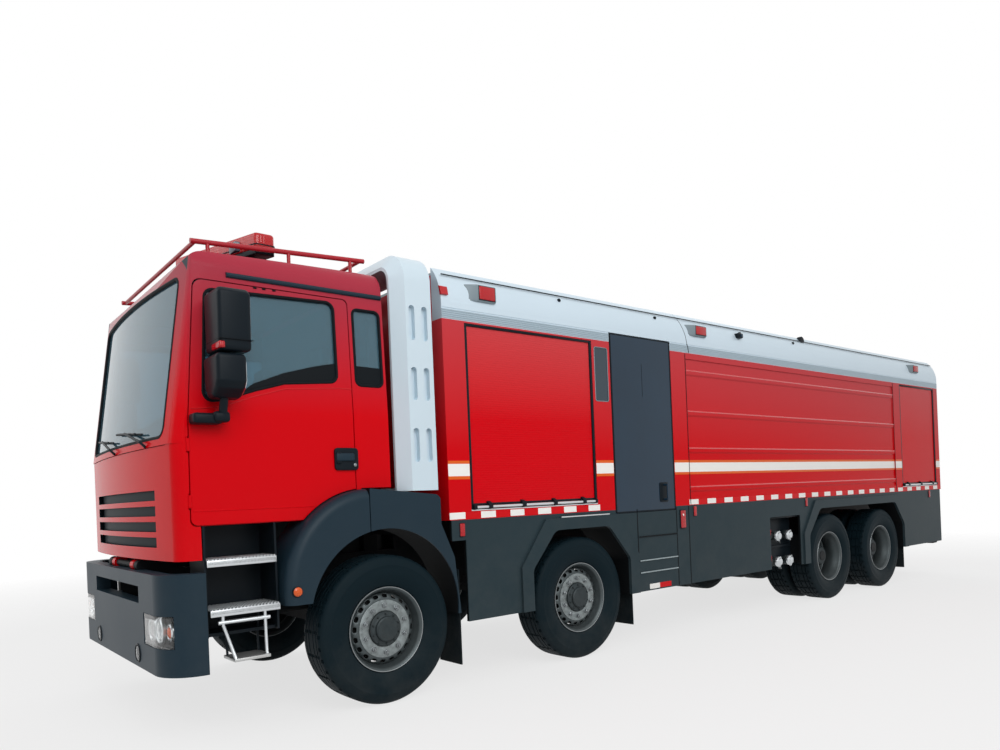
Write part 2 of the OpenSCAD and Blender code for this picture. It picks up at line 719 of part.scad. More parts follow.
module cab_side(i) translate([x1, 0]) outline([[-cab_back + i, cab_z + i], [cab_nose + 235, cab_z + i],
    [cab_nose + 235, 2300],
    [cab_nose - 155 - i, 2900], [roof_front[0] - i, roof_front[1] - i], [-cab_back + i, cab_roof_z - i]],
    [0, 0, 0, 0, 150 - i, 30 - i / 2]);

module cab_front(i) outline([[-cab_y + i, 1000], [cab_y - i, 1000], [cab_y - i, 2050],
    [cab_y - 40 - i, cab_roof_z + 10 - i],
    [-cab_y + 40 + i, cab_roof_z + 10 - i], [-cab_y + i, 2050]], [0, 0, 0, 176 - i, 176 - i, 0]);

// Upper half of the envelope leans back with the windscreen
module leaning(i) translate([x1 + cab_nose, 0, cowl_z]) rotate([0, -screen_lean, 0])
    translate([-cab_nose, 0, -600]) linear_extrude(3000) cab_plan(i, 1500);

module cab_solid(i) {
    intersection() {
        slab(-2000, 2000) cab_side(i);
        run(x1 - 500, x1 + 2000) cab_front(i);
        translate([x1 - cowl_step, 0, 1000]) linear_extrude(cowl_z - 980) cab_plan(i, 600);
    }
    intersection() {
        slab(-2000, 2000) cab_side(i);
        run(x1 - 500, x1 + 2000) cab_front(i);
        leaning(i);
        block([x1 - 600, -2000, cowl_z], [x1 + 2000, 2000, 4000]);
    }
}

// Front panel: the layer between the cab's face and a face set back, below the windscreen
nose_t = 55;
nose_half_w = 1000;
nose_z = 1126;

module nose_layer(d, za, zb) translate([x1 - cowl_step, 0, za]) linear_extrude(zb - za) difference() {
    cab_plan(0, 0);
    cab_plan(d, 200);
}

module nose_zone(top) {
    intersection() {
        nose_layer(nose_t, nose_z, top);
        block([nose_x - 465, -nose_half_w, 0], [nose_x + 500, nose_half_w, 3000]);
    }
    intersection() {
        nose_layer(nose_t, nose_z, cab_z);
        block([nose_x - 215, -2000, 0], [nose_x + 500, 2000, 3000]);
    }
}

grille_slots = [1240, 1340, 1440, 1540];

module front_panel() color(red) difference() {
    nose_zone(cowl_z - 4);
    intersection() {
        nose_layer(30, 1000, 2000);
        for (z = grille_slots) block([nose_x - 465, -800, z - 32], [nose_x + 500, 800, z + 32]);
    }
}

door_front = cab_nose - 153;
door_pts = [[164, cab_z], [door_front, cab_z], [door_front - 8, 2000], [door_front - 80, 2885], [164, 2885]];
window_pts = [[278, 2289], [door_front - 645, 2257], [door_front - 439, 2198], [door_front - 243, 2130],
    [door_front - 107, 2105], [door_front - 152, 2822], [278, 2846]];
window_r = [50, 0, 0, 0, 50, 50, 50];
quarter = [[-85, 2276], [130, 2822]];
screen_half_w = 960;
screen_z = [1900, 2915];
floor_z = [1385, 1595];
tunnel = [380, 1540, 1000];

function grown(pts, g) = [for (p = pts) [p[0] + (p[0] > 700 ? g : -g), p[1] + (p[1] > 2100 ? g : -g)]];

module door_outline(g) translate([x1, 0]) outline(grown(door_pts, -g), [0, 40, 0, 60, 40]);
module window_outline() translate([x1, 0]) outline(window_pts, window_r);
module fender_round(d) translate([x1 + fender_c[0], fender_c[1]]) circle(fender_r + d);

module cab_cavity() difference() {
    cab_solid(cab_t);
    block([x1 - 500, -2000, 0], [x1 + 640, 2000, floor_z[1]]);
    block([x1 - 500, -tunnel[0] - 50, 0], [x1 + tunnel[2] + 50, tunnel[0] + 50, tunnel[1] + 50]);
    block([nose_x - 215, -2000, 0], [nose_x + 500, 2000, cowl_z]);
}

module cab_shell() color(red) difference() {
    union() {
        difference() {
            cab_solid(0);
            cab_cavity();
            nose_zone(cowl_z);
            slab(-2000, 2000) fender_round(0.2);
            block([x1 - 500, -2000, 0], [x1 + fender_split, 2000, 1545]);
            block([x1 - 500, -tunnel[0], 0], [x1 + tunnel[2], tunnel[0], tunnel[1]]);
            both() {
                slab(cab_y - cab_t - 7, 2000) door_outline(0);
                slab(cab_y - 115, 2000) intersection() {
                    door_outline(0);
                    panel([x1, floor_z[1] + 60], [nose_x - 65, 3000]);
                }
                slab(cab_y - 200, 2000) translate([x1, 0]) panel(quarter[0], quarter[1], 40);
            }
            run(nose_x - 365, nose_x + 500) panel([-screen_half_w, screen_z[0]], [screen_half_w, screen_z[1]], 70);
        }
        both() slab(220, 300) union() {
            polygon([[nose_x - 210, cab_z + 10], [nose_x - 85, cab_z + 10], [nose_x - 75, tilt_z + 40],
                     [tilt_x + 10, tilt_z + 30], [tilt_x - 36, tilt_z - 10]]);
            translate([tilt_x, tilt_z]) circle(d = 76);
        }
    }
    rod(tilt_x, tilt_z, -400, 400, tilt_pin_d + 2 * fit);
    both() translate([0, 0, -10]) door_hinges(door_hinge[2] + 2 * fit);
    both() translate([0, 0, 10]) door_hinges(door_hinge[2] + 2 * fit);
}

side_lean = 40 / (cab_roof_z + 10 - 2050);
glass_set = 14;
glass_t = 6;

module cab_glass() color(glass) {
    intersection() {
        difference() {
            leaning(glass_set);
            leaning(glass_set + glass_t);
        }
        run(nose_x - 365, nose_x + 500) panel([-screen_half_w, screen_z[0]], [screen_half_w, screen_z[1]], 70);
    }
    both() intersection() {
        side_glass();
        slab(0, 2000) translate([x1, 0]) panel(quarter[0], quarter[1], 40);
    }
}

// Thin layer that follows the cab's side, set in from its face
module side_glass() run(x1 - 500, nose_x - 165) translate([cab_y - glass_set, 2050]) polygon([[0, 0], [-glass_t, 0],
    [-glass_t - side_lean * 850, 850], [-side_lean * 850, 850]]);

module door_skin() difference() {
    intersection() {
        cab_solid(0);
        slab(cab_y - 110, 2000) door_outline(door_gap);
    }
    cab_solid(cab_t);
    block([x1, 0, 1000], [nose_x - 65, cab_y - cab_t, 1700]);
    slab(0, 2000) window_outline();
    slab(0, 2000) fender_round(door_gap + 1);
}

// Hinge barrels at the door's front edge, at the joint's axis
door_hinge = [door_front - 4, cab_y + 2, 22];
hinge_z = [1450, 1800];

module door_hinges(d) for (z = hinge_z) translate([x1 + door_hinge[0], door_hinge[1], z]) cylinder(h = 80, d = d);

module door_handle() slab(cab_y - 2, cab_y + 14) translate([x1, 0]) panel([190, 1690], [325, 1810], 12);

module cab_door() color(red) {
    door_skin();
    door_handle();
    door_hinges(door_hinge[2]);
}
module cab_door_left() cab_door();
module cab_door_right() mirror([0, 1, 0]) cab_door();

module door_glass() color(glass) intersection() {
    side_glass();
    slab(0, 2000) window_outline();
}
module door_glass_left() door_glass();
module door_glass_right() mirror([0, 1, 0]) door_glass();

module mirror_body() color(black) translate([x1 + door_front, cab_y, 0]) {
    slab(0, 110) panel([-250, 1960], [-14, 2030], 15);
    slab(50, 130) panel([-330, 1970], [-190, 2040], 15);
    slab(50, 290) panel([-317, 2035], [-177, 2375], 40);
    slab(50, 290) panel([-327, 2385], [-167, 2770], 45);
    slab(90, 250) panel([-297, 2360], [-197, 2400]);
}
module mirror_left() mirror_body();
module mirror_right() mirror([0, 1, 0]) mirror_body();

module cab_seats() color(dark) both() {
    slab(300, 800) translate([x1, 0]) union() {
        panel([200, floor_z[1]], [560, 1880]);
        panel([150, 1860], [640, 2010], 50);
        outline([[130, 1900], [260, 1900], [170, 2640], [40, 2640]], [0, 40, 50, 50]);
    }
}

wheel_d = 460;

module dashboard() color(dark) {
    slab(-1000, 1000) panel([nose_x - 475, 1640], [nose_x - 215, 1990], 60);
    translate([nose_x - 455, 550, 1900]) rotate([0, -35, 0]) {
        cylinder(h = 300, d = 60);
        translate([0, 0, 290]) rotate_extrude() translate([wheel_d / 2 - 16, 0]) circle(16);
        for (a = [0, 120, 240]) rotate([0, 0, a]) translate([0, -18, 282]) cube([wheel_d / 2 - 16, 36, 16]);
    }
}

module light_bar() color(red) difference() {
    union() {
        translate([nose_x - 465, 0, 3190]) linear_extrude(150)
            polygon([[0, 0], [-280, 860], [-440, 860], [-200, 0], [-440, -860], [-280, -860]]);
        both() block([nose_x - 825, 560, 3060], [nose_x - 705, 640, 3200]);
    }
    slab(-2000, 2000) cab_side(0);
}

rail_d = 34;
rail_ends = [[cab_nose - 295, 3180], [-95, 3252]];
rail_cross = [[cab_nose - 325, 3182], [-65, 3250]];
rail_posts = [cab_nose - 405, 500, 20];

module roof_rails() color(red) difference() {
    union() {
        both() translate([0, 900, 0]) {
            tube_xz(rail_ends[0], rail_ends[1]);
            for (c = rail_posts) translate([x1 + c, 0, 3050]) cylinder(h = 3244 - 3050 - (c + 80) * 0.057, d = 26);
        }
        for (p = rail_cross) rod(x1 + p[0], p[1], -905, 905, rail_d - 6);
    }
    slab(-2000, 2000) cab_side(0);
}

module tube_xz(a, b) {
    l = norm(a - b);
    translate([x1 + b[0], 0, b[1]]) rotate([0, 90 - atan2(a[1] - b[1], a[0] - b[0]), 0]) cylinder(h = l, d = rail_d);
}

well_c = [770, cab_nose - 225];
well_y = [850, 1125];
tread_z = [812, 1119];

module step_wells() color(black) both() {
    block([x1 + well_c[0], well_y[0], 640], [x1 + well_c[1], well_y[0] + 20, cab_z]);
    block([x1 + well_c[1] - 14, well_y[0], 640], [x1 + well_c[1], well_y[1], cab_z]);
    block([x1 + well_c[0], well_y[0], 640], [x1 + well_c[0] + 14, well_y[1], cab_z]);
    block([x1 + well_c[0], well_y[0], 640], [x1 + well_c[1], well_y[1] - 40, 660]);
}

module step_treads() color(silver) both() {
    tread_c = [well_c[0] + 14, well_c[1] - 14];
    arm_c = [well_c[0] + 110, well_c[1] - 100];
    block([x1 + tread_c[0], well_y[0] + 20, tread_z[1] - 28], [x1 + tread_c[1], 1150, tread_z[1]]);
    block([x1 + tread_c[0], well_y[0] + 20, tread_z[0] - 28], [x1 + tread_c[1], 1180, tread_z[0]]);
    for (c = arm_c) slab(1150, 1176) translate([x1, 0]) panel([c - 14, 480], [c + 14, tread_z[0] - 27]);
    block([x1 + arm_c[0] - 14, 1000, 480], [x1 + arm_c[1] + 14, 1200, 500]);
}

crew_pin = [crew_door_s[0] + 14, 6, 10];

// Crew door slab with its handle and the two hinge pins at its front edge
module crew_door() {
    slab(side_y - 36, side_y)
        panel([st(crew_door_s[1]) + 6, crew_door_z[0] + 6], [st(crew_door_s[0]) - 8, crew_door_z[1] - 6], 4);
    for (z = [1350, 1490]) rod(st(crew_door_s[1] - 180), z, side_y - 2, side_y + 46, 18);
    translate([st(crew_door_s[1] - 180), side_y + 46, 1341]) cylinder(h = 158, d = 18);
    crew_pins(crew_pin[2]);
}
module crew_pins(d) for (z = [crew_door_z[0] - 24, crew_door_z[1] - 10])
    translate([st(crew_pin[0]), side_y - crew_pin[1], z]) cylinder(h = 34, d = d);
module crew_door_left() color(black) crew_door();
module crew_door_right() color(black) mirror([0, 1, 0]) crew_door();

yoke_y = [997, 1008];

module knuckle(x) color(steel) {
    translate([x, 0, 0]) {
        rod(0, hub_z, yoke_y[0], track_y + 70, spindle_d);
        block([-60, yoke_y[0], hub_z - 110], [60, yoke_y[1], hub_z + 110]);
        for (z = [hub_z - 110, hub_z + 66]) ear(z);
        translate([0, kingpin_y, hub_z - 110]) cylinder(h = 220, d = kingpin_d);
    }
}
module ear(z) {
    translate([0, kingpin_y, z]) cylinder(h = 44, d = 90);
    block([-45, kingpin_y, z], [45, yoke_y[1], z + 44]);
}
module knuckle_1_left() knuckle(x1);
module knuckle_1_right() mirror([0, 1, 0]) knuckle(x1);
module knuckle_2_left() knuckle(x2);
module knuckle_2_right() mirror([0, 1, 0]) knuckle(x2);

rim_r = rim_d / 2;

// Rim barrel with its two flanges about y = 0
module rim_section() polygon([[rim_r - 16, -125], [rim_r + 16, -125], [rim_r + 16, -113], [rim_r - 0.3, -108],
    [rim_r - 0.3, 108], [rim_r + 16, 113], [rim_r + 16, 125], [rim_r - 16, 125]]);

module bolts(y, d, h) for (i = [0:wheel_bolts - 1]) rotate([0, i * 360 / wheel_bolts, 0])
    translate([0, y, bolt_circle_d / 2]) rotate([-90, 0, 0]) cylinder(h = h, d = d, $fn = 6);

module hand_holes(y) for (i = [0:wheel_bolts - 1]) rotate([0, (i + 0.5) * 360 / wheel_bolts, 0])
    translate([0, y - 60, 222]) rotate([-90, 0, 0]) cylinder(h = 120, d = 50);

module front_wheel() color(steel) difference() {
    union() {
        turned(0, 0, 0) union() {
            rim_section();
            polygon([[100, 40], [185, 40], [205, 62], [235, 62], [rim_r - 15, 20],
                     [rim_r - 15, 36], [238, 78], [198, 78],
                     [178, 56], [100, 56]]);
            polygon([[spindle_d / 2 + fit, -60], [125, -60], [125, 75],
                     [100, 110], [0, 110], [0, 74], [spindle_d / 2 + fit, 74]]);
        }
        bolts(50, 44, 36);
    }
    hand_holes(60);
}

module rear_wheel() color(steel) difference() {
    union() {
        turned(0, 0, 0) union() {
            rim_section();
            translate([0, -twin_pitch]) rim_section();
            polygon([[120, -160], [180, -160], [215, -150], [rim_r - 15, -100],
                     [rim_r - 15, -84], [212, -132], [180, -142], [120, -142]]);
            polygon([[120, -190], [180, -190], [215, -200], [rim_r - 15, -250],
                     [rim_r - 15, -266], [212, -218], [180, -208], [120, -208]]);
            polygon([[100, -208], [200, -208], [200, -142], [100, -142]]);
            polygon([[axle_end_d / 2 + fit, -300], [135, -300], [135, -40],
                     [115, 70], [0, 70], [0, 34], [axle_end_d / 2 + fit, 34]]);
        }
        bolts(-150, 44, 40);
    }
}

// Tyre section, as radius and distance from the middle of the tread
module tyre() color(rubber) turned(0, 0, 0) difference() {
    polygon(rounded([[rim_r, -tyre_w / 2 + 50], [rim_r + 17, -tyre_w / 2 + 43], [tyre_d / 2 - 130, -tyre_w / 2],
        [tyre_d / 2 - 40, -tyre_w / 2 + 8], [tyre_d / 2, -tyre_w / 2 + 42], [tyre_d / 2, tyre_w / 2 - 42],
        [tyre_d / 2 - 40, tyre_w / 2 - 8], [tyre_d / 2 - 130, tyre_w / 2], [rim_r + 17, tyre_w / 2 - 43],
        [rim_r, tyre_w / 2 - 50]], [0, 0, 120, 40, 20, 20, 40, 120, 0, 0], 2));
    polygon([[rim_r - 50, -tyre_w / 2 + 70], [rim_r + 40, -tyre_w / 2 + 66], [tyre_d / 2 - 130, -tyre_w / 2 + 26],
        [tyre_d / 2 - 34, -tyre_w / 2 + 80], [tyre_d / 2 - 34, tyre_w / 2 - 80],
        [tyre_d / 2 - 130, tyre_w / 2 - 26], [rim_r + 40, tyre_w / 2 - 66], [rim_r - 50, tyre_w / 2 - 70]]);
}

module at_wheel(x, e) translate([x, e * track_y, hub_z]) mirror([0, e < 0 ? 1 : 0, 0]) children();

module wheel_1_left() at_wheel(x1, 1) front_wheel();
module wheel_1_right() at_wheel(x1, -1) front_wheel();
module wheel_2_left() at_wheel(x2, 1) front_wheel();
module wheel_2_right() at_wheel(x2, -1) front_wheel();
module wheel_3_left() at_wheel(x3, 1) rear_wheel();
module wheel_3_right() at_wheel(x3, -1) rear_wheel();
module wheel_4_left() at_wheel(x4, 1) rear_wheel();
module wheel_4_right() at_wheel(x4, -1) rear_wheel();

module twin_tyres() {
    tyre();
    translate([0, -twin_pitch, 0]) tyre();
}
module tyre_1_left() at_wheel(x1, 1) tyre();
module tyre_1_right() at_wheel(x1, -1) tyre();
module tyre_2_left() at_wheel(x2, 1) tyre();
module tyre_2_right() at_wheel(x2, -1) tyre();
module tyres_3_left() at_wheel(x3, 1) twin_tyres();
module tyres_3_right() at_wheel(x3, -1) twin_tyres();
module tyres_4_left() at_wheel(x4, 1) twin_tyres();
module tyres_4_right() at_wheel(x4, -1) twin_tyres();

chassis_frame();
front_axles();
drive_axles();
leaf_springs();
engine_block();
chassis_tanks();
front_bumper();
lamps();
mudguards();
mud_flaps();
cab_hoop();
equipment_bays();
roller_shutters();
tank_module();
roof_covings();
roof_deck();
side_skirts();
pump_couplings();
rear_underrun();
rear_ladder();
cab_shell();
front_panel();
cab_glass();
cab_seats();
dashboard();
light_bar();
roof_rails();
step_wells();
step_treads();
cab_fenders();
cab_door_left();
cab_door_right();
door_glass_left();
door_glass_right();
mirror_left();
mirror_right();
crew_door_left();
crew_door_right();
monitor_turret();
monitor_barrel();
knuckle_1_left();
knuckle_1_right();
knuckle_2_left();
knuckle_2_right();
wheel_1_left();
wheel_1_right();
wheel_2_left();
wheel_2_right();
wheel_3_left();
wheel_3_right();
wheel_4_left();
wheel_4_right();
tyre_1_left();
tyre_1_right();
tyre_2_left();
tyre_2_right();
tyres_3_left();
tyres_3_right();
tyres_4_left();
tyres_4_right();
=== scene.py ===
import math

import bpy
from mathutils import Matrix, Vector


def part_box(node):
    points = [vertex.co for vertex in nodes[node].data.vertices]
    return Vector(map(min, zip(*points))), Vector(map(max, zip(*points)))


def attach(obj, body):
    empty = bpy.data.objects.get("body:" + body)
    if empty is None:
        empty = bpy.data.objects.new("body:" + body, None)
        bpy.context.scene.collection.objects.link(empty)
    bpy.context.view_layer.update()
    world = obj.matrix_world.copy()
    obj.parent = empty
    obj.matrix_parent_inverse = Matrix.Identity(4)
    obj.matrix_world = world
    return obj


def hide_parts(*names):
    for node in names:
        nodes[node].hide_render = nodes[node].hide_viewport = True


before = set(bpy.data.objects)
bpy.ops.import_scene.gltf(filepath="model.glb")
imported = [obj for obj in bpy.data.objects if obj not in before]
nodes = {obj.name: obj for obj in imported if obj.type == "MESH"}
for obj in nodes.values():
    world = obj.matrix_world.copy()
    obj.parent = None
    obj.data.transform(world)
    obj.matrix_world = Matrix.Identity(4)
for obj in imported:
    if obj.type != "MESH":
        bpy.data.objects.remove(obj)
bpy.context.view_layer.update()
print("frame loaded,", len(nodes), "nodes")


def middle(node):
    low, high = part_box(node)
    return (low + high) / 2


axle = [middle("tyre_1_left").x, middle("tyre_2_left").x, middle("tyres_3_left").x, middle("tyres_4_left").x]
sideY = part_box("tank_module")[1].y  # outer face of the body panels
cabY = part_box("cab_shell")[1].y


def station(s):  # metres behind the first axle
    return axle[0] - s


rearFace = station(9.740)


def deselect():
    if bpy.context.object and bpy.context.object.mode != "OBJECT":
        bpy.ops.object.mode_set(mode="OBJECT")
    bpy.ops.object.select_all(action="DESELECT")


def pick(*objs):
    deselect()
    for obj in objs:
        obj.select_set(True)
    bpy.context.view_layer.objects.active = objs[0]
    return objs[0]


def bakePlace(obj):
    pick(obj)
    bpy.ops.object.transform_apply(location=True, rotation=True, scale=True)
    return obj


def modify(obj, kind, **settings):
    pick(obj)
    mod = obj.modifiers.new(kind.lower(), kind)
    for key, value in settings.items():
        setattr(mod, key, value)
    bpy.ops.object.modifier_apply(modifier=mod.name)
    return obj


def outwards(obj):
    pick(obj)
    bpy.ops.object.mode_set(mode="EDIT")
    bpy.ops.mesh.select_all(action="SELECT")
    bpy.ops.mesh.remove_doubles(threshold=0.00002)
    bpy.ops.mesh.normals_make_consistent(inside=False)
    bpy.ops.object.mode_set(mode="OBJECT")
    return obj


def smooth(obj, angle=35):
    pick(obj)
    bpy.ops.object.shade_smooth_by_angle(angle=math.radians(angle))
    return obj


def join(name, objs):
    pick(*objs)
    if len(objs) > 1:
        bpy.ops.object.join()
    obj = bpy.context.view_layer.objects.active
    obj.name = name
    return obj


def turnPiece(obj, place, turn):
    obj.matrix_world = Matrix.Translation(Vector(place)) @ turn
    return bakePlace(obj)


# turns that bring the axis Y, or for the first one Z, to another direction
alongY = Matrix.Rotation(-math.pi / 2, 4, "X")
upwards = Matrix.Rotation(math.pi / 2, 4, "X")
forwards = Matrix.Rotation(-math.pi / 2, 4, "Z")
backwards = Matrix.Rotation(math.pi / 2, 4, "Z")


def twinOf(obj, name):
    pick(obj)
    bpy.ops.object.duplicate(linked=False)
    twin = bpy.context.view_layer.objects.active
    twin.name = name
    return twin


def copyOf(obj, name, move=(0, 0, 0), spin=0, axis="Y"):
    return turnPiece(twinOf(obj, name), move, Matrix.Rotation(spin, 4, axis))


def otherSide(obj, name):
    twin = twinOf(obj, name)
    twin.scale = (1, -1, 1)
    bakePlace(twin)
    return outwards(twin)


def repeat(obj, count, step):
    return modify(obj, "ARRAY", count=count, use_relative_offset=False, use_constant_offset=True,
                  constant_offset_displace=step)


def boxPiece(name, low, high, edge=0.003, segments=2):
    deselect()
    low, high = Vector(low), Vector(high)
    bpy.ops.mesh.primitive_cube_add(size=1, location=(low + high) / 2)
    obj = bpy.context.object
    obj.name = name
    obj.scale = [abs(v) for v in high - low]
    bakePlace(obj)
    if edge:
        modify(obj, "BEVEL", width=edge, segments=segments, limit_method="ANGLE")
        smooth(obj)
    return obj


# rings of (radius, distance along the axis), turned about Y through the centre
def turnedPiece(name, rings, centre, segments=48, closed=False, caps=(True, True)):
    deselect()
    bpy.ops.mesh.primitive_circle_add(vertices=segments, radius=rings[0][0], fill_type="NOTHING",
                                      location=(0, 0, rings[0][1]))
    obj = bpy.context.object
    obj.name = name
    bakePlace(obj)
    bpy.ops.object.mode_set(mode="EDIT")
    bpy.ops.mesh.select_all(action="SELECT")
    if caps[0] and not closed:
        bpy.ops.mesh.edge_face_add()
    stops = list(rings[1:]) + ([rings[0]] if closed else [])
    last = rings[0]
    for ring in stops:
        bpy.ops.mesh.extrude_edges_move(TRANSFORM_OT_translate={"value": (0, 0, ring[1] - last[1])})
        k = ring[0] / last[0]
        bpy.ops.transform.resize(value=(k, k, 1), center_override=(0, 0, ring[1]))
        last = ring
    if caps[1] and not closed:
        bpy.ops.mesh.edge_face_add()
    bpy.ops.mesh.select_all(action="SELECT")
    bpy.ops.mesh.remove_doubles(threshold=0.00005)
    bpy.ops.mesh.normals_make_consistent(inside=False)
    bpy.ops.object.mode_set(mode="OBJECT")
    return turnPiece(obj, centre, alongY)


def curvePiece(name, places, closed, **settings):
    deselect()
    curve = bpy.data.curves.new(name, "CURVE")
    for key, value in settings.items():
        setattr(curve, key, value)
    spline = curve.splines.new("POLY")
    spline.points.add(len(places) - 1)
    for point, place in zip(spline.points, places):
        point.co = (*place, 1)
    spline.use_cyclic_u = closed
    obj = bpy.data.objects.new(name, curve)
    bpy.context.scene.collection.objects.link(obj)
    pick(obj)
    bpy.ops.object.convert(target="MESH")
    return bpy.context.object


def tubePiece(name, points, radius, closed=False, sides=3):
    return smooth(outwards(curvePiece(name, points, closed, dimensions="3D", bevel_depth=radius,
                                      bevel_resolution=sides, use_fill_caps=True)))


# corners of a flat outline rounded by one radius
def rounded(points, radius, steps=5):
    out = []
    for i, corner in enumerate(points):
        here = Vector(corner)
        a = (Vector(points[i - 1]) - here).normalized()
        b = (Vector(points[(i + 1) % len(points)]) - here).normalized()
        half = a.angle(b) / 2
        if radius <= 0 or half > math.radians(82):
            out.append(tuple(here))
            continue
        centre = here + (a + b).normalized() * radius / math.sin(half)
        start = here + a * radius / math.tan(half) - centre
        sweep = (math.pi - 2 * half) * (1 if a.x * b.y - a.y * b.x < 0 else -1)
        for k in range(steps + 1):
            out.append(tuple(centre + Matrix.Rotation(sweep * k / steps, 2) @ start))
    return out


# flat outline in (x, z), given its thickness along Y about the place
def platePiece(name, outline, y, thick, edge=0.0, turn=(90, 0, 0), place=None):
    obj = curvePiece(name, [(u, v, 0) for u, v in outline], True, dimensions="2D", fill_mode="BOTH",
                     extrude=thick / 2 - edge, bevel_depth=edge, bevel_resolution=2, offset=-edge)
    obj.rotation_euler = [math.radians(v) for v in turn]
    obj.location = place or (0, y, 0)
    bakePlace(obj)
    return smooth(outwards(obj))


# leaves the chosen faces selected, in edit mode
def chooseFaces(obj, chosen):
    pick(obj)
    bpy.ops.object.mode_set(mode="EDIT")
    bpy.ops.mesh.select_mode(type="FACE")
    bpy.ops.mesh.select_all(action="DESELECT")
    bpy.ops.object.mode_set(mode="OBJECT")
    for face in obj.data.polygons:
        face.select = chosen(face)
    bpy.ops.object.mode_set(mode="EDIT")


def pushFaces(obj, chosen, inset, depth):
    chooseFaces(obj, chosen)
    bpy.ops.mesh.inset(thickness=inset, use_individual=True)
    bpy.ops.mesh.extrude_faces_move(TRANSFORM_OT_shrink_fatten={"value": depth})
    bpy.ops.object.mode_set(mode="OBJECT")
    return obj


def rectangle(u0, v0, u1, v1):
    return [(u0, v0), (u1, v0), (u1, v1), (u0, v1)]


# inputs come with their usual values; an output named Colour is a colour, any other a number
def newGroup(name, outputs, **inputs):
    tree = bpy.data.node_groups.new(name, "ShaderNodeTree")
    for socket, value in inputs.items():
        kind = "NodeSocketColor" if isinstance(value, tuple) else "NodeSocketFloat"
        tree.interface.new_socket(name=socket, in_out="INPUT", socket_type=kind).default_value = value
    for socket in outputs:
        kind = "NodeSocketColor" if socket == "Colour" else "NodeSocketFloat"
        tree.interface.new_socket(name=socket, in_out="OUTPUT", socket_type=kind)
    return tree, tree.nodes.new("NodeGroupInput").outputs, tree.nodes.new("NodeGroupOutput").inputs


def newMaterial(name):
    mat = bpy.data.materials.new(name)
    mat.use_nodes = True
    return mat, mat.node_tree, mat.node_tree.nodes["Principled BSDF"]


def feed(tree, socket, value):
    if isinstance(value, bpy.types.NodeSocket):
        tree.links.new(value, socket)
    else:
        socket.default_value = value


def addNode(tree, kind, **settings):
    node = tree.nodes.new(kind)
    for key, value in settings.items():
        if key.startswith("in_"):
            feed(tree, node.inputs[int(key[3:]) if key[3:].isdigit() else key[3:]], value)
        else:
            setattr(node, key, value)
    return node


def mathNode(tree, operation, a, b=0.0, clamp=False):
    return addNode(tree, "ShaderNodeMath", operation=operation, use_clamp=clamp, in_0=a, in_1=b).outputs[0]


def mixColour(tree, factor, a, b):
    return addNode(tree, "ShaderNodeMix", data_type="RGBA", in_0=factor, in_6=a, in_7=b).outputs[2]


# 0 to 1 from one value to another
def ramp(tree, value, low, high):
    node = addNode(tree, "ShaderNodeMapRange", in_Value=value)
    node.inputs["From Min"].default_value, node.inputs["From Max"].default_value = low, high
    return node.outputs[0]


def objectCoord(tree):
    return addNode(tree, "ShaderNodeTexCoord").outputs["Object"]


def objectAxes(tree):
    return addNode(tree, "ShaderNodeSeparateXYZ", in_0=objectCoord(tree)).outputs


# colour and gloss that drift a little over a panel
def makeDrift():
    tree, ins, outs = newGroup("panelDrift", ("Colour", "Roughness"), Colour=(1, 1, 1, 1), Scale=2.0,
                               Amount=0.1, Gloss=0.3)
    cloud = addNode(tree, "ShaderNodeTexNoise", in_Vector=objectCoord(tree), in_Scale=ins["Scale"],
                    in_Detail=5.0)
    shift = mathNode(tree, "SUBTRACT", cloud.outputs[0], 0.5)
    scaled = mathNode(tree, "MULTIPLY", shift, ins["Amount"])
    value = addNode(tree, "ShaderNodeHueSaturation", in_Color=ins["Colour"],
                    in_Value=mathNode(tree, "ADD", scaled, 1.0))
    tree.links.new(value.outputs[0], outs["Colour"])
    rough = mathNode(tree, "ADD", ins["Gloss"], mathNode(tree, "MULTIPLY", scaled, 0.6), True)
    tree.links.new(rough, outs["Roughness"])
    return tree


# pale road dust that gathers towards the ground
def makeDust():
    tree, ins, outs = newGroup("roadDust", ("Colour", "Roughness"), Colour=(1, 1, 1, 1), Roughness=0.4,
                               Dust=(0.3, 0.28, 0.25, 1), Top=1.0, Amount=0.4)
    coord = objectCoord(tree)
    height = addNode(tree, "ShaderNodeSeparateXYZ", in_0=coord).outputs[2]
    low = mathNode(tree, "SUBTRACT", 1.0, mathNode(tree, "DIVIDE", height, ins["Top"]), True)
    cloud = addNode(tree, "ShaderNodeTexNoise", in_Vector=coord, in_Scale=6.0, in_Detail=8.0,
                    in_Roughness=0.65)
    speck = mathNode(tree, "MULTIPLY", mathNode(tree, "SUBTRACT", cloud.outputs[0], 0.3, True), 2.2, True)
    mask = mathNode(tree, "MULTIPLY", mathNode(tree, "MULTIPLY", low, speck), ins["Amount"], True)
    tree.links.new(mixColour(tree, mask, ins["Colour"], ins["Dust"]), outs["Colour"])
    gap = mathNode(tree, "SUBTRACT", 0.85, ins["Roughness"])
    rough = mathNode(tree, "ADD", ins["Roughness"], mathNode(tree, "MULTIPLY", gap, mask))
    tree.links.new(rough, outs["Roughness"])
    return tree


# fine moulded or sprayed grain, as a height
def makeGrain():
    tree, ins, outs = newGroup("fineGrain", ("Height",), Scale=400.0)
    grit = addNode(tree, "ShaderNodeTexNoise", in_Vector=objectCoord(tree), in_Scale=ins["Scale"],
                   in_Detail=3.0)
    tree.links.new(grit.outputs[0], outs["Height"])
    return tree


# 1 where a coordinate lies between two places
def makeBetween():
    tree, ins, outs = newGroup("between", ("Mask",), Value=0.0, Low=0.0, High=1.0)
    over = mathNode(tree, "GREATER_THAN", ins["Value"], ins["Low"])
    under = mathNode(tree, "LESS_THAN", ins["Value"], ins["High"])
    tree.links.new(mathNode(tree, "MULTIPLY", over, under), outs["Mask"])
    return tree


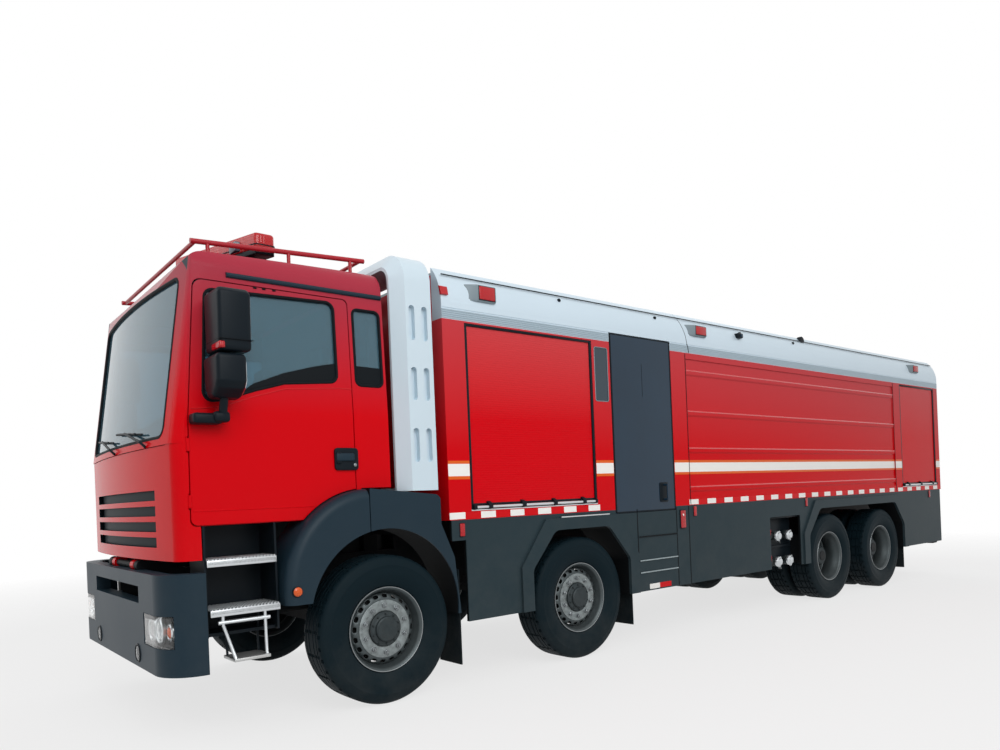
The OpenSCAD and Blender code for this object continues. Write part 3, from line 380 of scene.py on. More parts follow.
groups = {"drift": makeDrift(), "dust": makeDust(), "grain": makeGrain(), "between": makeBetween()}


def place(tree, group, **values):
    node = tree.nodes.new("ShaderNodeGroup")
    node.node_tree = groups[group]
    for key, value in values.items():
        feed(tree, node.inputs[key], value)
    return node


# colour, gloss, shine (specular level), metal, coat, drift amount and scale, dust amount and top,
# grain scale and depth, and painted sheen: the colour of a painted sky reflection and shade, and the heights
# between which it comes in
columns = ("colour", "gloss", "shine", "metal", "coat", "drift", "scale", "dust", "top", "grain", "bump",
           "paintedSheen")
finishRows = {
    "truckRed": ((0.60, 0.0010, 0.005), 0.20, 0.045, 0.0, 0.04, 0.05, 2.0, 0.05, 1.6, 260, 0.012,
                 ((0.50, 0.050, 0.060), 1.80, 2.95)),
    "curtainRed": ((0.61, 0.0012, 0.006), 0.26, 0.055, 0.0, 0.03, 0.05, 2.0, 0.05, 1.6, 300, 0.01,
                   ((0.56, 0.055, 0.062), 2.05, 2.85)),
    # paler, glossier red for a painted highlight along the tank's ribs
    "ribRed": ((0.62, 0.020, 0.026), 0.12, 0.6, 0.0, 0.9, 0.05, 2.0, 0.03, 1.6, 260, 0.01),
    "railRed": ((0.36, 0.012, 0.022), 0.30, 0.3, 0.0, 0.0, 0.08, 2.0, 0.0, 1.6, 260, 0.012),
    "roofSilver": ((0.57, 0.68, 0.76), 0.34, 0.4, 0.25, 0.0, 0.05, 2.0, 0.06, 1.6, 500, 0.015),
    "hoopSilver": ((0.57, 0.68, 0.75), 0.32, 0.4, 0.15, 0.0, 0.04, 2.0, 0.08, 1.6, 500, 0.015),
    "bandGrey": ((0.36, 0.45, 0.51), 0.34, 0.4, 0.3, 0.0, 0.08, 2.0, 0.06, 1.6, 400, 0.02),
    "skirtGrey": ((0.020, 0.036, 0.044), 0.42, 0.10, 0.0, 0.0, 0.16, 2.0, 0.08, 1.6, 700, 0.03),
    "fenderBlack": ((0.010, 0.025, 0.038), 0.42, 0.16, 0.0, 0.0, 0.15, 2.0, 0.04, 1.6, 900, 0.06),
    "trimBlack": ((0.005, 0.009, 0.013), 0.36, 0.10, 0.0, 0.0, 0.15, 2.0, 0.03, 1.6, 1100, 0.05),
    "chassisBlack": ((0.004, 0.006, 0.008), 0.55, 0.08, 0.0, 0.0, 0.2, 2.0, 0.10, 1.6, 250, 0.06),
    "sealRubber": ((0.004, 0.006, 0.008), 0.62, 0.10, 0.0, 0.0, 0.2, 2.0, 0.03, 1.6, 800, 0.04),
    "tyreRubber": ((0.004, 0.0115, 0.016), 0.56, 0.07, 0.0, 0.0, 0.25, 2.0, 0.07, 0.7, 500, 0.08),
    "flapRubber": ((0.004, 0.009, 0.012), 0.7, 0.06, 0.0, 0.0, 0.25, 2.0, 0.08, 1.6, 350, 0.1),
    "rimGrey": ((0.060, 0.075, 0.08), 0.42, 0.3, 0.5, 0.0, 0.3, 14.0, 0.10, 1.6, 300, 0.04),
    "lipSteel": ((0.26, 0.28, 0.29), 0.34, 0.35, 0.8, 0.0, 0.4, 9.0, 0.10, 1.6, 300, 0.04),
    "discSilver": ((0.21, 0.24, 0.245), 0.38, 0.35, 0.7, 0.0, 1.5, 26.0, 0.12, 1.6, 160, 0.08),
    "hubGrey": ((0.030, 0.040, 0.044), 0.5, 0.2, 0.5, 0.0, 0.8, 30.0, 0.10, 1.6, 180, 0.1),
    "boltSteel": ((0.22, 0.24, 0.25), 0.36, 0.35, 0.85, 0.0, 0.8, 22.0, 0.10, 1.6, 300, 0.05),
    "brushedAlu": ((0.60, 0.63, 0.65), 0.32, 0.4, 0.9, 0.0, 0.15, 2.0, 0.08, 1.6, 220, 0.05),
    "castIron": ((0.018, 0.021, 0.024), 0.6, 0.12, 0.4, 0.0, 0.35, 2.0, 0.14, 1.6, 120, 0.25),
    "cabTrim": ((0.05, 0.065, 0.075), 0.6, 0.2, 0.0, 0.0, 0.1, 2.0, 0.0, 1.6, 600, 0.08),
    "seatCloth": ((0.020, 0.026, 0.034), 0.85, 0.15, 0.0, 0.0, 0.2, 2.0, 0.0, 1.6, 900, 0.25),
    "whiteTape": ((0.86, 0.85, 0.82), 0.34, 0.3, 0.0, 0.0, 0.06, 2.0, 0.06, 1.6, 420, 0.05),
    "orangeTape": ((0.72, 0.115, 0.012), 0.34, 0.2, 0.0, 0.0, 0.06, 2.0, 0.06, 1.6, 420, 0.05),
    "lampGrey": ((0.20, 0.25, 0.28), 0.42, 0.3, 0.0, 0.0, 0.1, 2.0, 0.1, 1.6, 700, 0.03),
    "barBlue": ((0.02, 0.03, 0.06), 0.16, 0.4, 0.0, 0.4, 0.2, 2.0, 0.05, 1.6, 200, 0.02),
    # pale grey for painted highlights along the skirt's folds
    "foldGrey": ((0.30, 0.36, 0.38), 0.36, 0.3, 0.0, 0.0, 0.1, 2.0, 0.05, 1.6, 500, 0.02),
    "paneGrey": ((0.030, 0.048, 0.064), 0.08, 0.35, 0.0, 0.0, 0.2, 2.0, 0.04, 1.6, 80, 0.006),
    "redTape": ((0.60, 0.004, 0.008), 0.34, 0.1, 0.0, 0.0, 0.06, 2.0, 0.06, 1.6, 420, 0.05),
    "crewGlass": ((0.007, 0.026, 0.050), 0.05, 0.30, 0.0, 0.0, 0.3, 2.0, 0.04, 1.6, 60, 0.004),
    "mirrorFace": ((0.7, 0.72, 0.73), 0.04, 0.5, 1.0, 0.0, 0.03, 2.0, 0.0, 1.6, 50, 0.001),
}
finishes = {name: dict(zip(columns, row)) for name, row in finishRows.items()}


def makeFinish(name, colour, gloss, shine=0.5, metal=0.0, coat=0.0, drift=0.1, scale=2.0, dust=0.2, top=1.6,
               grain=400, bump=0.03, paintedSheen=None):
    mat, tree, shader = newMaterial(name)
    shader.inputs["Metallic"].default_value = metal
    shader.inputs["Specular IOR Level"].default_value = shine
    shader.inputs["Coat Weight"].default_value = coat
    shader.inputs["Coat Roughness"].default_value = 0.06
    soft = place(tree, "drift", Colour=(*colour, 1), Amount=drift, Gloss=gloss, Scale=scale)
    dirty = place(tree, "dust", Colour=soft.outputs["Colour"], Roughness=soft.outputs["Roughness"], Top=top,
                  Amount=dust)
    paint = dirty.outputs["Colour"]
    if paintedSheen:  # painted sky reflection and shade, paler towards the roof
        tone, low, high = paintedSheen
        paint = mixColour(tree, ramp(tree, objectAxes(tree)[2], low, high), paint, (*tone, 1))
    tree.links.new(paint, shader.inputs["Base Color"])
    tree.links.new(dirty.outputs["Roughness"], shader.inputs["Roughness"])
    grit = place(tree, "grain", Scale=grain)
    lumps = addNode(tree, "ShaderNodeBump", in_Height=grit.outputs[0], in_Strength=bump, in_Distance=0.002)
    tree.links.new(lumps.outputs[0], shader.inputs["Normal"])
    return mat


finish = {name: makeFinish(name, **values) for name, values in finishes.items()}


def paintSocket(mat, name="Base Color"):
    shader = mat.node_tree.nodes["Principled BSDF"]
    return shader.inputs[name], shader.inputs[name].links[0].from_socket


# a second colour where a mask is 1
def overpaint(mat, mask, colour, gloss=None):
    tree = mat.node_tree
    socket, source = paintSocket(mat)
    tree.links.new(mixColour(tree, mask, source, (*colour, 1)), socket)
    if gloss is not None:
        socket, source = paintSocket(mat, "Roughness")
        mixed = addNode(tree, "ShaderNodeMix", data_type="FLOAT", in_0=mask, in_2=source, in_3=gloss)
        tree.links.new(mixed.outputs[0], socket)


def between(tree, value, low, high):
    return place(tree, "between", Value=value, Low=low, High=high).outputs[0]


def both(tree, a, b):
    return mathNode(tree, "MULTIPLY", a, b)


def either(tree, masks):
    total = masks[0]
    for mask in masks[1:]:
        total = mathNode(tree, "MAXIMUM", total, mask)
    return total


# painted sky reflection and shade on the cab's red towards the roof: its colour and the heights between which
# it comes in
cabPaintedSheen = ((0.36, 0.034, 0.056), 2.05, 2.95)


# grey trim on the inside of the cab's panels
def makeCabRed(name):
    mat = makeFinish(name, **dict(finishes["truckRed"], paintedSheen=cabPaintedSheen))
    tree = mat.node_tree
    x, y, z = objectAxes(tree)
    lean = mathNode(tree, "MULTIPLY", mathNode(tree, "SUBTRACT", z, 2.05, True), 0.0367)
    reach = mathNode(tree, "ADD", mathNode(tree, "ABSOLUTE", y), lean)
    wide = mathNode(tree, "LESS_THAN", reach, cabY - 0.03)
    room = both(tree, between(tree, x, axle[0] - 0.10, axle[0] + 1.25), between(tree, z, 1.37, 3.035))
    overpaint(mat, both(tree, wide, room), finishes["cabTrim"]["colour"], 0.6)
    return mat


def makeGrilleRed():
    mat = makeFinish("grilleRed", **finishes["truckRed"])
    tree = mat.node_tree
    y, z = objectAxes(tree)[1:3]
    across = mathNode(tree, "LESS_THAN", mathNode(tree, "ABSOLUTE", y), 0.801)
    rows = [between(tree, z, mid - 0.0325, mid + 0.0325) for mid in grilleRows]
    overpaint(mat, both(tree, across, either(tree, rows)), finishes["trimBlack"]["colour"], 0.5)
    return mat


# near black painted shade for the inside of the wheel arches and skirts
archShade = {"colour": (0.0022, 0.0030, 0.0038), "gloss": 0.7}


# wheel arches, with painted shade: near black on the inside of the outer skin
def makeArch(name, base, skin):
    mat = makeFinish(name, **finishes[base])
    tree = mat.node_tree
    depth = mathNode(tree, "ABSOLUTE", objectAxes(tree)[1])
    overpaint(mat, mathNode(tree, "LESS_THAN", depth, skin), archShade["colour"], archShade["gloss"])
    return mat


grilleRows = (1.24, 1.34, 1.44, 1.54)
finish["cabRed"] = makeCabRed("cabRed")
finish["grilleRed"] = makeGrilleRed()
finish["archBlack"] = makeArch("archBlack", "fenderBlack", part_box("mudguards")[1].y - 0.012)
finish["archSkirt"] = makeArch("archSkirt", "skirtGrey", sideY - 0.008)


def wave(tree, value, pitch):
    return mathNode(tree, "SINE", mathNode(tree, "MULTIPLY", value, pitch))


chequer = {"along": 74.0, "across": 222.0}  # waves per 2 pi metres


# chequer plate, its bars raised in the bump
def makeChequer():
    mat = makeFinish("chequerPlate", (0.50, 0.51, 0.51), 0.36, metal=0.85, drift=0.2, dust=0.25, top=4.5,
                     grain=300, bump=0.04)
    tree = mat.node_tree
    x, y = objectAxes(tree)[:2]
    bars = []
    for way in (1, -1):
        slant = mathNode(tree, "MULTIPLY", y, way)
        along = wave(tree, mathNode(tree, "ADD", x, slant), chequer["along"])
        across = wave(tree, mathNode(tree, "SUBTRACT", x, slant), chequer["across"])
        bars.append(both(tree, mathNode(tree, "GREATER_THAN", along, 0.55),
                         mathNode(tree, "GREATER_THAN", across, 0.2)))
    lumps = addNode(tree, "ShaderNodeBump", in_Height=either(tree, bars), in_Strength=0.5, in_Distance=0.002)
    shader = tree.nodes["Principled BSDF"]
    tree.links.new(shader.inputs["Normal"].links[0].from_socket, lumps.inputs["Normal"])
    tree.links.new(lumps.outputs[0], shader.inputs["Normal"])
    return mat


glassIor = 1.45


def makeGlass(name, colour, gloss, clear=1.0):
    mat, tree, shader = newMaterial(name)
    shader.inputs["Transmission Weight"].default_value = clear
    shader.inputs["IOR"].default_value = glassIor
    soft = place(tree, "drift", Colour=(*colour, 1), Amount=0.02, Gloss=gloss, Scale=3.0)
    tree.links.new(soft.outputs["Colour"], shader.inputs["Base Color"])
    tree.links.new(soft.outputs["Roughness"], shader.inputs["Roughness"])
    return mat


# lens with fine moulded prisms
def makeLens(name, colour, gloss, clear, pitch):
    mat = makeGlass(name, colour, gloss, clear)
    tree = mat.node_tree
    shader = tree.nodes["Principled BSDF"]
    axes = objectAxes(tree)
    ribs = mathNode(tree, "ADD", wave(tree, axes[0], pitch), wave(tree, axes[2], pitch))
    lumps = addNode(tree, "ShaderNodeBump", in_Height=ribs, in_Strength=0.25, in_Distance=0.001)
    tree.links.new(lumps.outputs[0], shader.inputs["Normal"])
    return mat


finish["chequerPlate"] = makeChequer()
finish["windowGlass"] = makeGlass("windowGlass", (0.16, 0.33, 0.42), 0.0, clear=0.72)
finish["coverLens"] = makeGlass("coverLens", (0.96, 0.97, 0.97), 0.01)
# colour, gloss, clearness and prisms of each lens
lenses = {"redLens": ((0.55, 0.006, 0.012), 0.12, 0.25, 420),
          "orangeLens": ((0.85, 0.12, 0.01), 0.14, 0.25, 420),
          "clearLens": ((0.92, 0.94, 0.95), 0.04, 0.9, 260),
          "barLens": ((0.62, 0.01, 0.015), 0.08, 0.35, 300)}
for name, values in lenses.items():
    finish[name] = makeLens(name, *values)
print("finishes mixed,", len(finish))


def dress(obj, name):
    obj.data.materials.clear()
    obj.data.materials.append(finish[name])
    return obj


# the three basic forms with their finish
def boxOf(name, look, *shape, **more):
    return dress(boxPiece(name, *shape, **more), look)


def tubeOf(name, look, *shape, **more):
    return dress(tubePiece(name, *shape, **more), look)


def turnedOf(name, look, *shape, **more):
    return dress(turnedPiece(name, *shape, **more), look)


nodeLooks = {
    "chassisBlack": "chassis_frame front_axles leaf_springs rear_underrun",
    "castIron": "drive_axles engine_block",
    "brushedAlu": "chassis_tanks rear_ladder pump_couplings step_treads",
    "fenderBlack": "front_bumper cab_fenders",
    "archBlack": "mudguards",
    "flapRubber": "mud_flaps",
    "hoopSilver": "cab_hoop",
    "truckRed": "equipment_bays tank_module monitor_turret monitor_barrel",
    "roofSilver": "roof_covings",
    "chequerPlate": "roof_deck",
    "archSkirt": "side_skirts",
    "cabRed": "cab_shell",
    "grilleRed": "front_panel",
    "windowGlass": "cab_glass",
    "cabTrim": "dashboard",
    "railRed": "roof_rails",
    "trimBlack": "step_wells",
    "curtainRed": "roller_shutters",
    "seatCloth": "cab_seats",
    "barLens": "light_bar",
    "redLens": "lamps",
}
nodeFinish = {node: look for look, names in nodeLooks.items() for node in names.split()}
for side in ("left", "right"):
    nodeFinish.update({"cab_door_" + side: "cabRed", "door_glass_" + side: "windowGlass",
                       "mirror_" + side: "trimBlack", "crew_door_" + side: "crewGlass"})
    for n in (1, 2):
        nodeFinish["knuckle_%d_%s" % (n, side)] = "castIron"
for name, obj in nodes.items():
    dress(obj, nodeFinish.get(name, "tyreRubber" if name.startswith("tyre") else "rimGrey"))
print("frame painted")


def carry(obj, body):
    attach(obj, body)
    return obj


# a left piece and its twin on the other side
def pair(obj, body):
    twin = otherSide(obj, obj.name.replace("Left", "Right"))
    carry(obj, body)
    carry(twin, body.replace("left", "right"))
    return obj, twin


rayFrom = {"ahead": 8.0, "beside": 3.0, "above": 5.0}


# where a straight line first meets a node, if it does
def onSurface(node, start, aim):
    hit, spot = nodes[node].ray_cast(Vector(start), Vector(aim))[:2]
    return spot if hit else None


def fromAhead(node, y, z):
    return onSurface(node, (rayFrom["ahead"], y, z), (-1, 0, 0))


def fromBeside(node, x, z):
    return onSurface(node, (x, rayFrom["beside"], z), (0, -1, 0))


# upright panel on the left side, from two stations and two heights
def sidePlate(name, s0, s1, low, high, y, thick, finishName, corner=0.0, edge=0.0):
    outline = rectangle(station(s1), low, station(s0), high)
    if corner:
        outline = rounded(outline, corner)
    return dress(platePiece(name, outline, y, thick, edge), finishName)


# outline in (y, z) given its length along X
def crossPlate(name, outline, x0, x1, finishName, edge=0.0):
    obj = platePiece(name, outline, 0, abs(x1 - x0), edge, turn=(90, 0, 90), place=((x0 + x1) / 2, 0, 0))
    return dress(obj, finishName)


# outline in (x, y) given its height
def deckPlate(name, outline, z0, z1, finishName, edge=0.0):
    obj = platePiece(name, outline, 0, z1 - z0, edge, turn=(0, 0, 0), place=(0, 0, (z0 + z1) / 2))
    return dress(obj, finishName)


view = {"place": (6.907, 5.893, 1.446), "yaw": -129.29, "pitch": -0.05, "roll": -2.37, "lens": 27.115,
        "lift": 0.1218}


def setCamera():
    yaw, pitch, roll = (math.radians(view[k]) for k in ("yaw", "pitch", "roll"))
    ahead = Vector((math.cos(yaw) * math.cos(pitch), math.sin(yaw) * math.cos(pitch), math.sin(pitch)))
    right = Vector((math.sin(yaw), -math.cos(yaw), 0))
    up = right.cross(ahead)
    across = right * math.cos(roll) + up * math.sin(roll)
    upward = up * math.cos(roll) - right * math.sin(roll)
    data = bpy.data.cameras.new("photoCamera")
    data.lens = view["lens"]
    data.sensor_width = 36
    data.shift_y = view["lift"]
    data.clip_end = 200
    camera = bpy.data.objects.new("photoCamera", data)
    bpy.context.scene.collection.objects.link(camera)
    turn = Matrix((across, upward, -ahead)).transposed().to_4x4()
    camera.matrix_world = Matrix.Translation(Vector(view["place"])) @ turn
    bpy.context.scene.camera = camera


setCamera()
print("camera set")

tyre = {"segments": 120, "halfWidth": 0.1532, "shoulderCut": 0.009, "sipeCut": 0.006,
        "side": [(.288, .1), (.288, .1045), (.303, .1115), (.308, .1165), (.314, .1235), (.345, .137),
                 (.375, .1475), (.4, .152), (.425, .1532), (.45, .152), (.456, .1535), (.462, .1515),
                 (.485, .147), (.497, .141), (.503, .1395), (.512, .133), (.523, .1215), (.5285, .111)],
        "tread": [(.5292, .095), (.5295, .08), (.517, .0785), (.517, .0705), (.5298, .069), (.53, .037),
                  (.517, .0355), (.517, .0265), (.53, .025)]}


def mirrored(rings):
    return [(r, -y) for r, y in reversed(rings)]


def segmentOf(face, count):
    angle = math.atan2(face.center.z, face.center.x) % (2 * math.pi)
    return int(angle / (2 * math.pi) * count)


def makeTyre(name, blocks):
    half = tyre["side"] + tyre["tread"]
    obj = turnedPiece(name, half + mirrored(half), (0, 0, 0), tyre["segments"], closed=True)

    def shoulder(face):
        reach, out = math.hypot(face.center.x, face.center.z), abs(face.center.y)
        return reach > 0.52 and 0.094 < out < 0.118 and segmentOf(face, tyre["segments"]) % 3 == 0

    def ribs(face):
        reach = math.hypot(face.center.x, face.center.z)
        step = 4 if blocks else 6
        return reach > 0.527 and abs(face.center.y) < 0.094 and segmentOf(face, tyre["segments"]) % step == 1

    pushFaces(obj, shoulder, 0.0006, -tyre["shoulderCut"])
    pushFaces(obj, ribs, 0.003, -tyre["sipeCut"] * (2 if blocks else 1))
    return smooth(dress(obj, "tyreRubber"), 32)


wheel = {"rimOutside": [(.302, .125), (.304, .121), (.302, .114), (.2875, .1085), (.2853, .104), (.281, .07),
                        (.262, .045)],
         "rimInside": [(.252, .04), (.272, .068), (.277, .1), (.281, .1085), (.297, .1245)],
         "frontDisc": [(.2575, .03), (.2545, .046), (.2475, .060), (.236, .0685), (.224, .0735), (.208, .077),
                       (.19, .078), (.12, .078)],
         "rearDisc": [(.2745, -.09), (.262, -.125), (.25, -.14), (.238, -.1475), (.226, -.152),
                      (.208, -.1555), (.19, -.156), (.12, -.156)],
         "frontHub": [(.126, .08), (.126, .098), (.12, .104), (.098, .106), (.092, .11), (.088, .124),
                      (.08, .13), (.03, .132)],
         "rearHub": [(.138, -.15), (.138, -.07), (.15, -.062), (.15, -.04), (.126, -.034), (.118, .004),
                     (.1, .02), (.04, .026)],
         "drum": [(.232, .038), (.238, .032), (.238, -.088), (.226, -.088), (.226, .026), (.128, .026),
                  (.128, .038)],
         "frontPlate": [(.207, .08), (.206, .087), (.2, .089), (.132, .089), (.128, .087), (.127, .08)],
         "rearPlate": [(.207, -.154), (.206, -.147), (.2, -.145), (.145, -.145), (.141, -.147), (.14, -.154)],
         "frontBolts": (0.109, 0.104, 10), "rearBolts": (0.139, -0.04, 12), "boltSize": 0.0075, "nuts": 10,
         "nutReach": 0.1675, "nutSize": 0.0165, "frontSeat": 0.089, "rearSeat": -0.145, "holes": 20,
         "frontHoles": (0.225, 0.2475), "rearHoles": (0.227, 0.2495)}


def nutPiece(name, reach, base, size, finishName="boltSteel"):
    washer = turnedPiece("washer", [(size * 1.35, base), (size * 1.35, base + size * 0.16),
                                    (size * 1.2, base + size * 0.22)], (0, 0, reach), 18)
    hexagon = turnedPiece("hexagon", [(size * 1.12, base + size * 0.2), (size * 1.12, base + size * 1.05),
                                      (size * 0.92, base + size * 1.22)], (0, 0, reach), 6)
    stud = turnedPiece("stud", [(size * 0.55, base + size * 1.2), (size * 0.55, base + size * 1.75),
                                (size * 0.4, base + size * 1.9)], (0, 0, reach), 10)
    return smooth(dress(join(name, [washer, hexagon, stud]), finishName), 25)


def ringOf(piece, count):
    made = [piece]
    for k in range(1, count):
        made.append(copyOf(piece, piece.name, spin=2 * math.pi * k / count))
    return made


def discPiece(name, rings, holeFrom, holeTo):
    count = wheel["holes"] * 4
    obj = turnedPiece(name, rings, (0, 0, 0), count, caps=(False, False))

    def handHole(face):
        reach = math.hypot(face.center.x, face.center.z)
        return holeFrom < reach < holeTo and segmentOf(face, count) % 4 < 2

    chooseFaces(obj, handHole)
    bpy.ops.mesh.delete(type="FACE")
    bpy.ops.object.mode_set(mode="OBJECT")
    modify(obj, "SOLIDIFY", thickness=0.009, offset=0)
    modify(obj, "SUBSURF", levels=1, render_levels=1)
    return smooth(dress(obj, "rimGrey"), 50)


def rimPiece(name):
    outside, inside = wheel["rimOutside"], wheel["rimInside"]
    rings = outside + mirrored(outside) + mirrored(inside) + inside
    obj = turnedOf(name, "rimGrey", rings, (0, 0, 0), 96, closed=True)
    obj.data.materials.append(finish["lipSteel"])
    for face in obj.data.polygons:
        face.material_index = 1 if math.hypot(face.center.x, face.center.z) > 0.2985 else 0
    return smooth(obj, 40)


# brake drum behind the hand holes
def drumPiece(shift):
    rings = [(r, y + shift) for r, y in wheel["drum"]]
    return smooth(turnedOf("drum", "chassisBlack", rings, (0, 0, 0), 48, closed=True), 30)


# plate, hub, nuts and bolts on the outside of a wheel
def wheelFace(end):
    reach, base, count = wheel[end + "Bolts"]
    parts = [smooth(turnedOf("plate", "discSilver", wheel[end + "Plate"], (0, 0, 0), 80, closed=True), 30)]
    parts.append(smooth(turnedOf("hub", "hubGrey", wheel[end + "Hub"], (0, 0, 0), 48), 30))
    parts += ringOf(nutPiece("nut", wheel["nutReach"], wheel[end + "Seat"], wheel["nutSize"]), wheel["nuts"])
    return parts + ringOf(nutPiece("hubBolt", reach, base, wheel["boltSize"], "hubGrey"), count)


def makeFrontWheel():
    parts = [rimPiece("rim"), discPiece("disc", wheel["frontDisc"], *wheel["frontHoles"]), drumPiece(0)]
    return join("frontWheel", parts + wheelFace("front"))


def makeTwinWheel(gap):
    parts = [rimPiece("rim"), discPiece("disc", wheel["rearDisc"], *wheel["rearHoles"]),
             drumPiece(0.06 - gap)]
    parts.append(copyOf(parts[0], "innerRim", move=(0, -gap, 0)))
    parts.append(copyOf(parts[1], "innerDisc", move=(0, -gap, 0), spin=math.pi, axis="Z"))
    return join("twinWheel", parts + wheelFace("rear"))


def hangWheels():
    steerTyre, driveTyre = makeTyre("steerTyre", False), makeTyre("driveTyre", True)
    frontWheel = makeFrontWheel()
    low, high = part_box("tyres_3_left")
    half = tyre["halfWidth"]
    gap = (high.y - half) - (low.y + half)
    twinWheel = makeTwinWheel(gap)
    for n in (1, 2, 3, 4):
        for side in ("left", "right"):
            turn = 0 if side == "left" else math.pi
            rubber = ("tyre_%d_%s" if n < 3 else "tyres_%d_%s") % (n, side)
            low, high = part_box(rubber)
            mid = (low + high) / 2
            body = "wheel_%d_%s" % (n, side)
            outer = mid.y if n < 3 else (high.y - half if side == "left" else low.y + half)
            metal = copyOf(frontWheel if n < 3 else twinWheel, "wheelMetal%d%s" % (n, side.title()),
                           move=(mid.x, outer, mid.z), spin=turn, axis="Z")
            carry(metal, body)
            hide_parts(body)
            rubberPieces = [copyOf(steerTyre if n < 3 else driveTyre, "tyreBody", move=(mid.x, outer, mid.z),
                                   spin=turn, axis="Z")]
            if n > 2:
                inner = outer - gap if side == "left" else outer + gap
                rubberPieces.append(copyOf(driveTyre, "tyreBody", move=(mid.x, inner, mid.z), spin=turn,
                                           axis="Z"))
            tyreObj = join("tyre%d%s" % (n, side.title()), rubberPieces)
            carry(tyreObj, body)
            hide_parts(rubber)
    for obj in (steerTyre, driveTyre, frontWheel, twinWheel):
        bpy.data.objects.remove(obj)


hangWheels()
print("wheels hung")

# fine slats in black guides, over a black foot rail with a silver lift bar in front
shutter = {"spans": {"front": (0.753, 2.163, 4), "rear": (8.420, 9.600, 3)}, "low": 1.340, "high": 2.795,
           "pitch": 0.0182, "depth": 0.012, "setBack": 0.014, "guide": 0.026, "foot": 0.058, "barLift": 0.028,
           "barRadius": 0.011, "barOut": 0.010}


def slatCurtain(name, x0, x1, y):
    pitch = shutter["pitch"]
    low = shutter["low"] + shutter["foot"] - 0.004
    count = round((shutter["high"] - low) / pitch)
    back = y - shutter["depth"]
    slat = [(back, low), (y - 0.0008, low), (y - 0.0002, low + 0.0010), (y, low + 0.0030),
            (y, low + pitch - 0.0030), (y - 0.0002, low + pitch - 0.0010), (y - 0.0008, low + pitch),
            (back, low + pitch)]
    obj = crossPlate(name, slat, x0, x1, "curtainRed")
    return smooth(repeat(obj, count, (0, 0, pitch)), 50)


def shutterPiece(name, s0, s1, brackets):
    y = sideY - shutter["setBack"]
    low, high, guide = shutter["low"], shutter["high"], shutter["guide"]
    x0, x1 = station(s1), station(s0)
    parts = [slatCurtain("slats", x0 + 0.004, x1 - 0.004, y)]
    for x in (x0, x1 - guide):
        parts.append(boxOf("guide", "trimBlack", (x, y - 0.01, low), (x + guide, sideY - 0.002, high), 0.003))
    parts.append(boxOf("headSeal", "trimBlack", (x0, y - 0.02, high - 0.020), (x1, sideY - 0.003, high),
                       0.003))
    parts.append(boxOf("footRail", "trimBlack", (x0 + guide, y - 0.012, low),
                       (x1 - guide, y + 0.004, low + shutter["foot"]), 0.004))
    parts.append(boxOf("sill", "brushedAlu", (x0, y - 0.012, low), (x1, sideY + 0.004, low + 0.010), 0.003))
    barZ, barY = low + shutter["barLift"], sideY + shutter["barOut"]
    bar = tubePiece("liftBar", [(x0 + 0.030, barY, barZ), (x1 - 0.030, barY, barZ)], shutter["barRadius"],
                    sides=5)
    parts.append(dress(bar, "brushedAlu"))
    step = (s1 - s0 - 0.36) / (brackets - 1)
    for k in range(brackets):
        x = station(s0 + 0.18 + k * step)
        bracket = [(y, barZ + 0.044), (barY + 0.006, barZ + 0.030), (barY + 0.015, barZ + 0.012),
                   (barY + 0.015, barZ - 0.012), (barY + 0.004, barZ - 0.017), (y, barZ - 0.017)]
        parts.append(crossPlate("bracket", bracket, x - 0.020, x + 0.020, "trimBlack", 0.002))
    for x in (x0 + 0.030, x1 - 0.030):
        parts.append(boxOf("endBracket", "trimBlack", (x - 0.016, y - 0.004, barZ - 0.017),
                           (x + 0.016, barY + 0.014, barZ + 0.020), 0.006))
    return join(name, parts)


curtains = []
for where, (s0, s1, brackets) in shutter["spans"].items():
    curtains += pair(shutterPiece(where + "ShutterLeft", s0, s1, brackets), "chassis")
backShutter = {"half": 0.850, "face": rearFace, "setBack": 0.030, "barReach": 0.780, "barLift": 0.050,
               "barRadius": 0.014}


def backShutterPiece():
    half, face, guide = backShutter["half"], backShutter["face"], shutter["guide"]
    slats = slatCurtain("slats", -half, half, 0)
    parts = [turnPiece(slats, (face + backShutter["setBack"], 0, 0), backwards)]
    for y in (-half, half - guide):
        parts.append(boxOf("guide", "trimBlack", (face + 0.004, y, shutter["low"]),
                           (face + 0.04, y + guide, shutter["high"]), 0.003))
    parts.append(boxOf("footRail", "trimBlack", (face + 0.018, -half, shutter["low"]),
                       (face + 0.045, half, shutter["low"] + shutter["foot"]), 0.004))
    spot, z = face + 0.008, shutter["low"] + backShutter["barLift"]
    bar = tubePiece("liftBar", [(spot, -backShutter["barReach"], z), (spot, backShutter["barReach"], z)],
                    backShutter["barRadius"], sides=5)
    parts.append(dress(bar, "brushedAlu"))
    for y in (-0.74, -0.25, 0.25, 0.74):
        parts.append(boxOf("bracket", "trimBlack", (face + 0.004, y - 0.02, z - 0.022),
                           (face + 0.034, y + 0.02, z + 0.022), 0.005))
    return join("backShutter", parts)


curtains.append(carry(backShutterPiece(), "chassis"))
for obj in curtains:
    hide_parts("roller_shutters")
print("shutters hung")

# reflecting stripe: white between two orange bands, on the red panels only
stripe = {"mid": 1.658, "white": 0.094, "orange": 0.024, "thick": 0.0012,
          "runs": [(0.548, 0.750, 0.0), (2.166, 2.391, 0.0), (3.279, 3.508, 0.0), (3.512, 8.208, -0.012),
                   (8.212, 8.417, 0.0), (9.603, 9.738, 0.0)]}


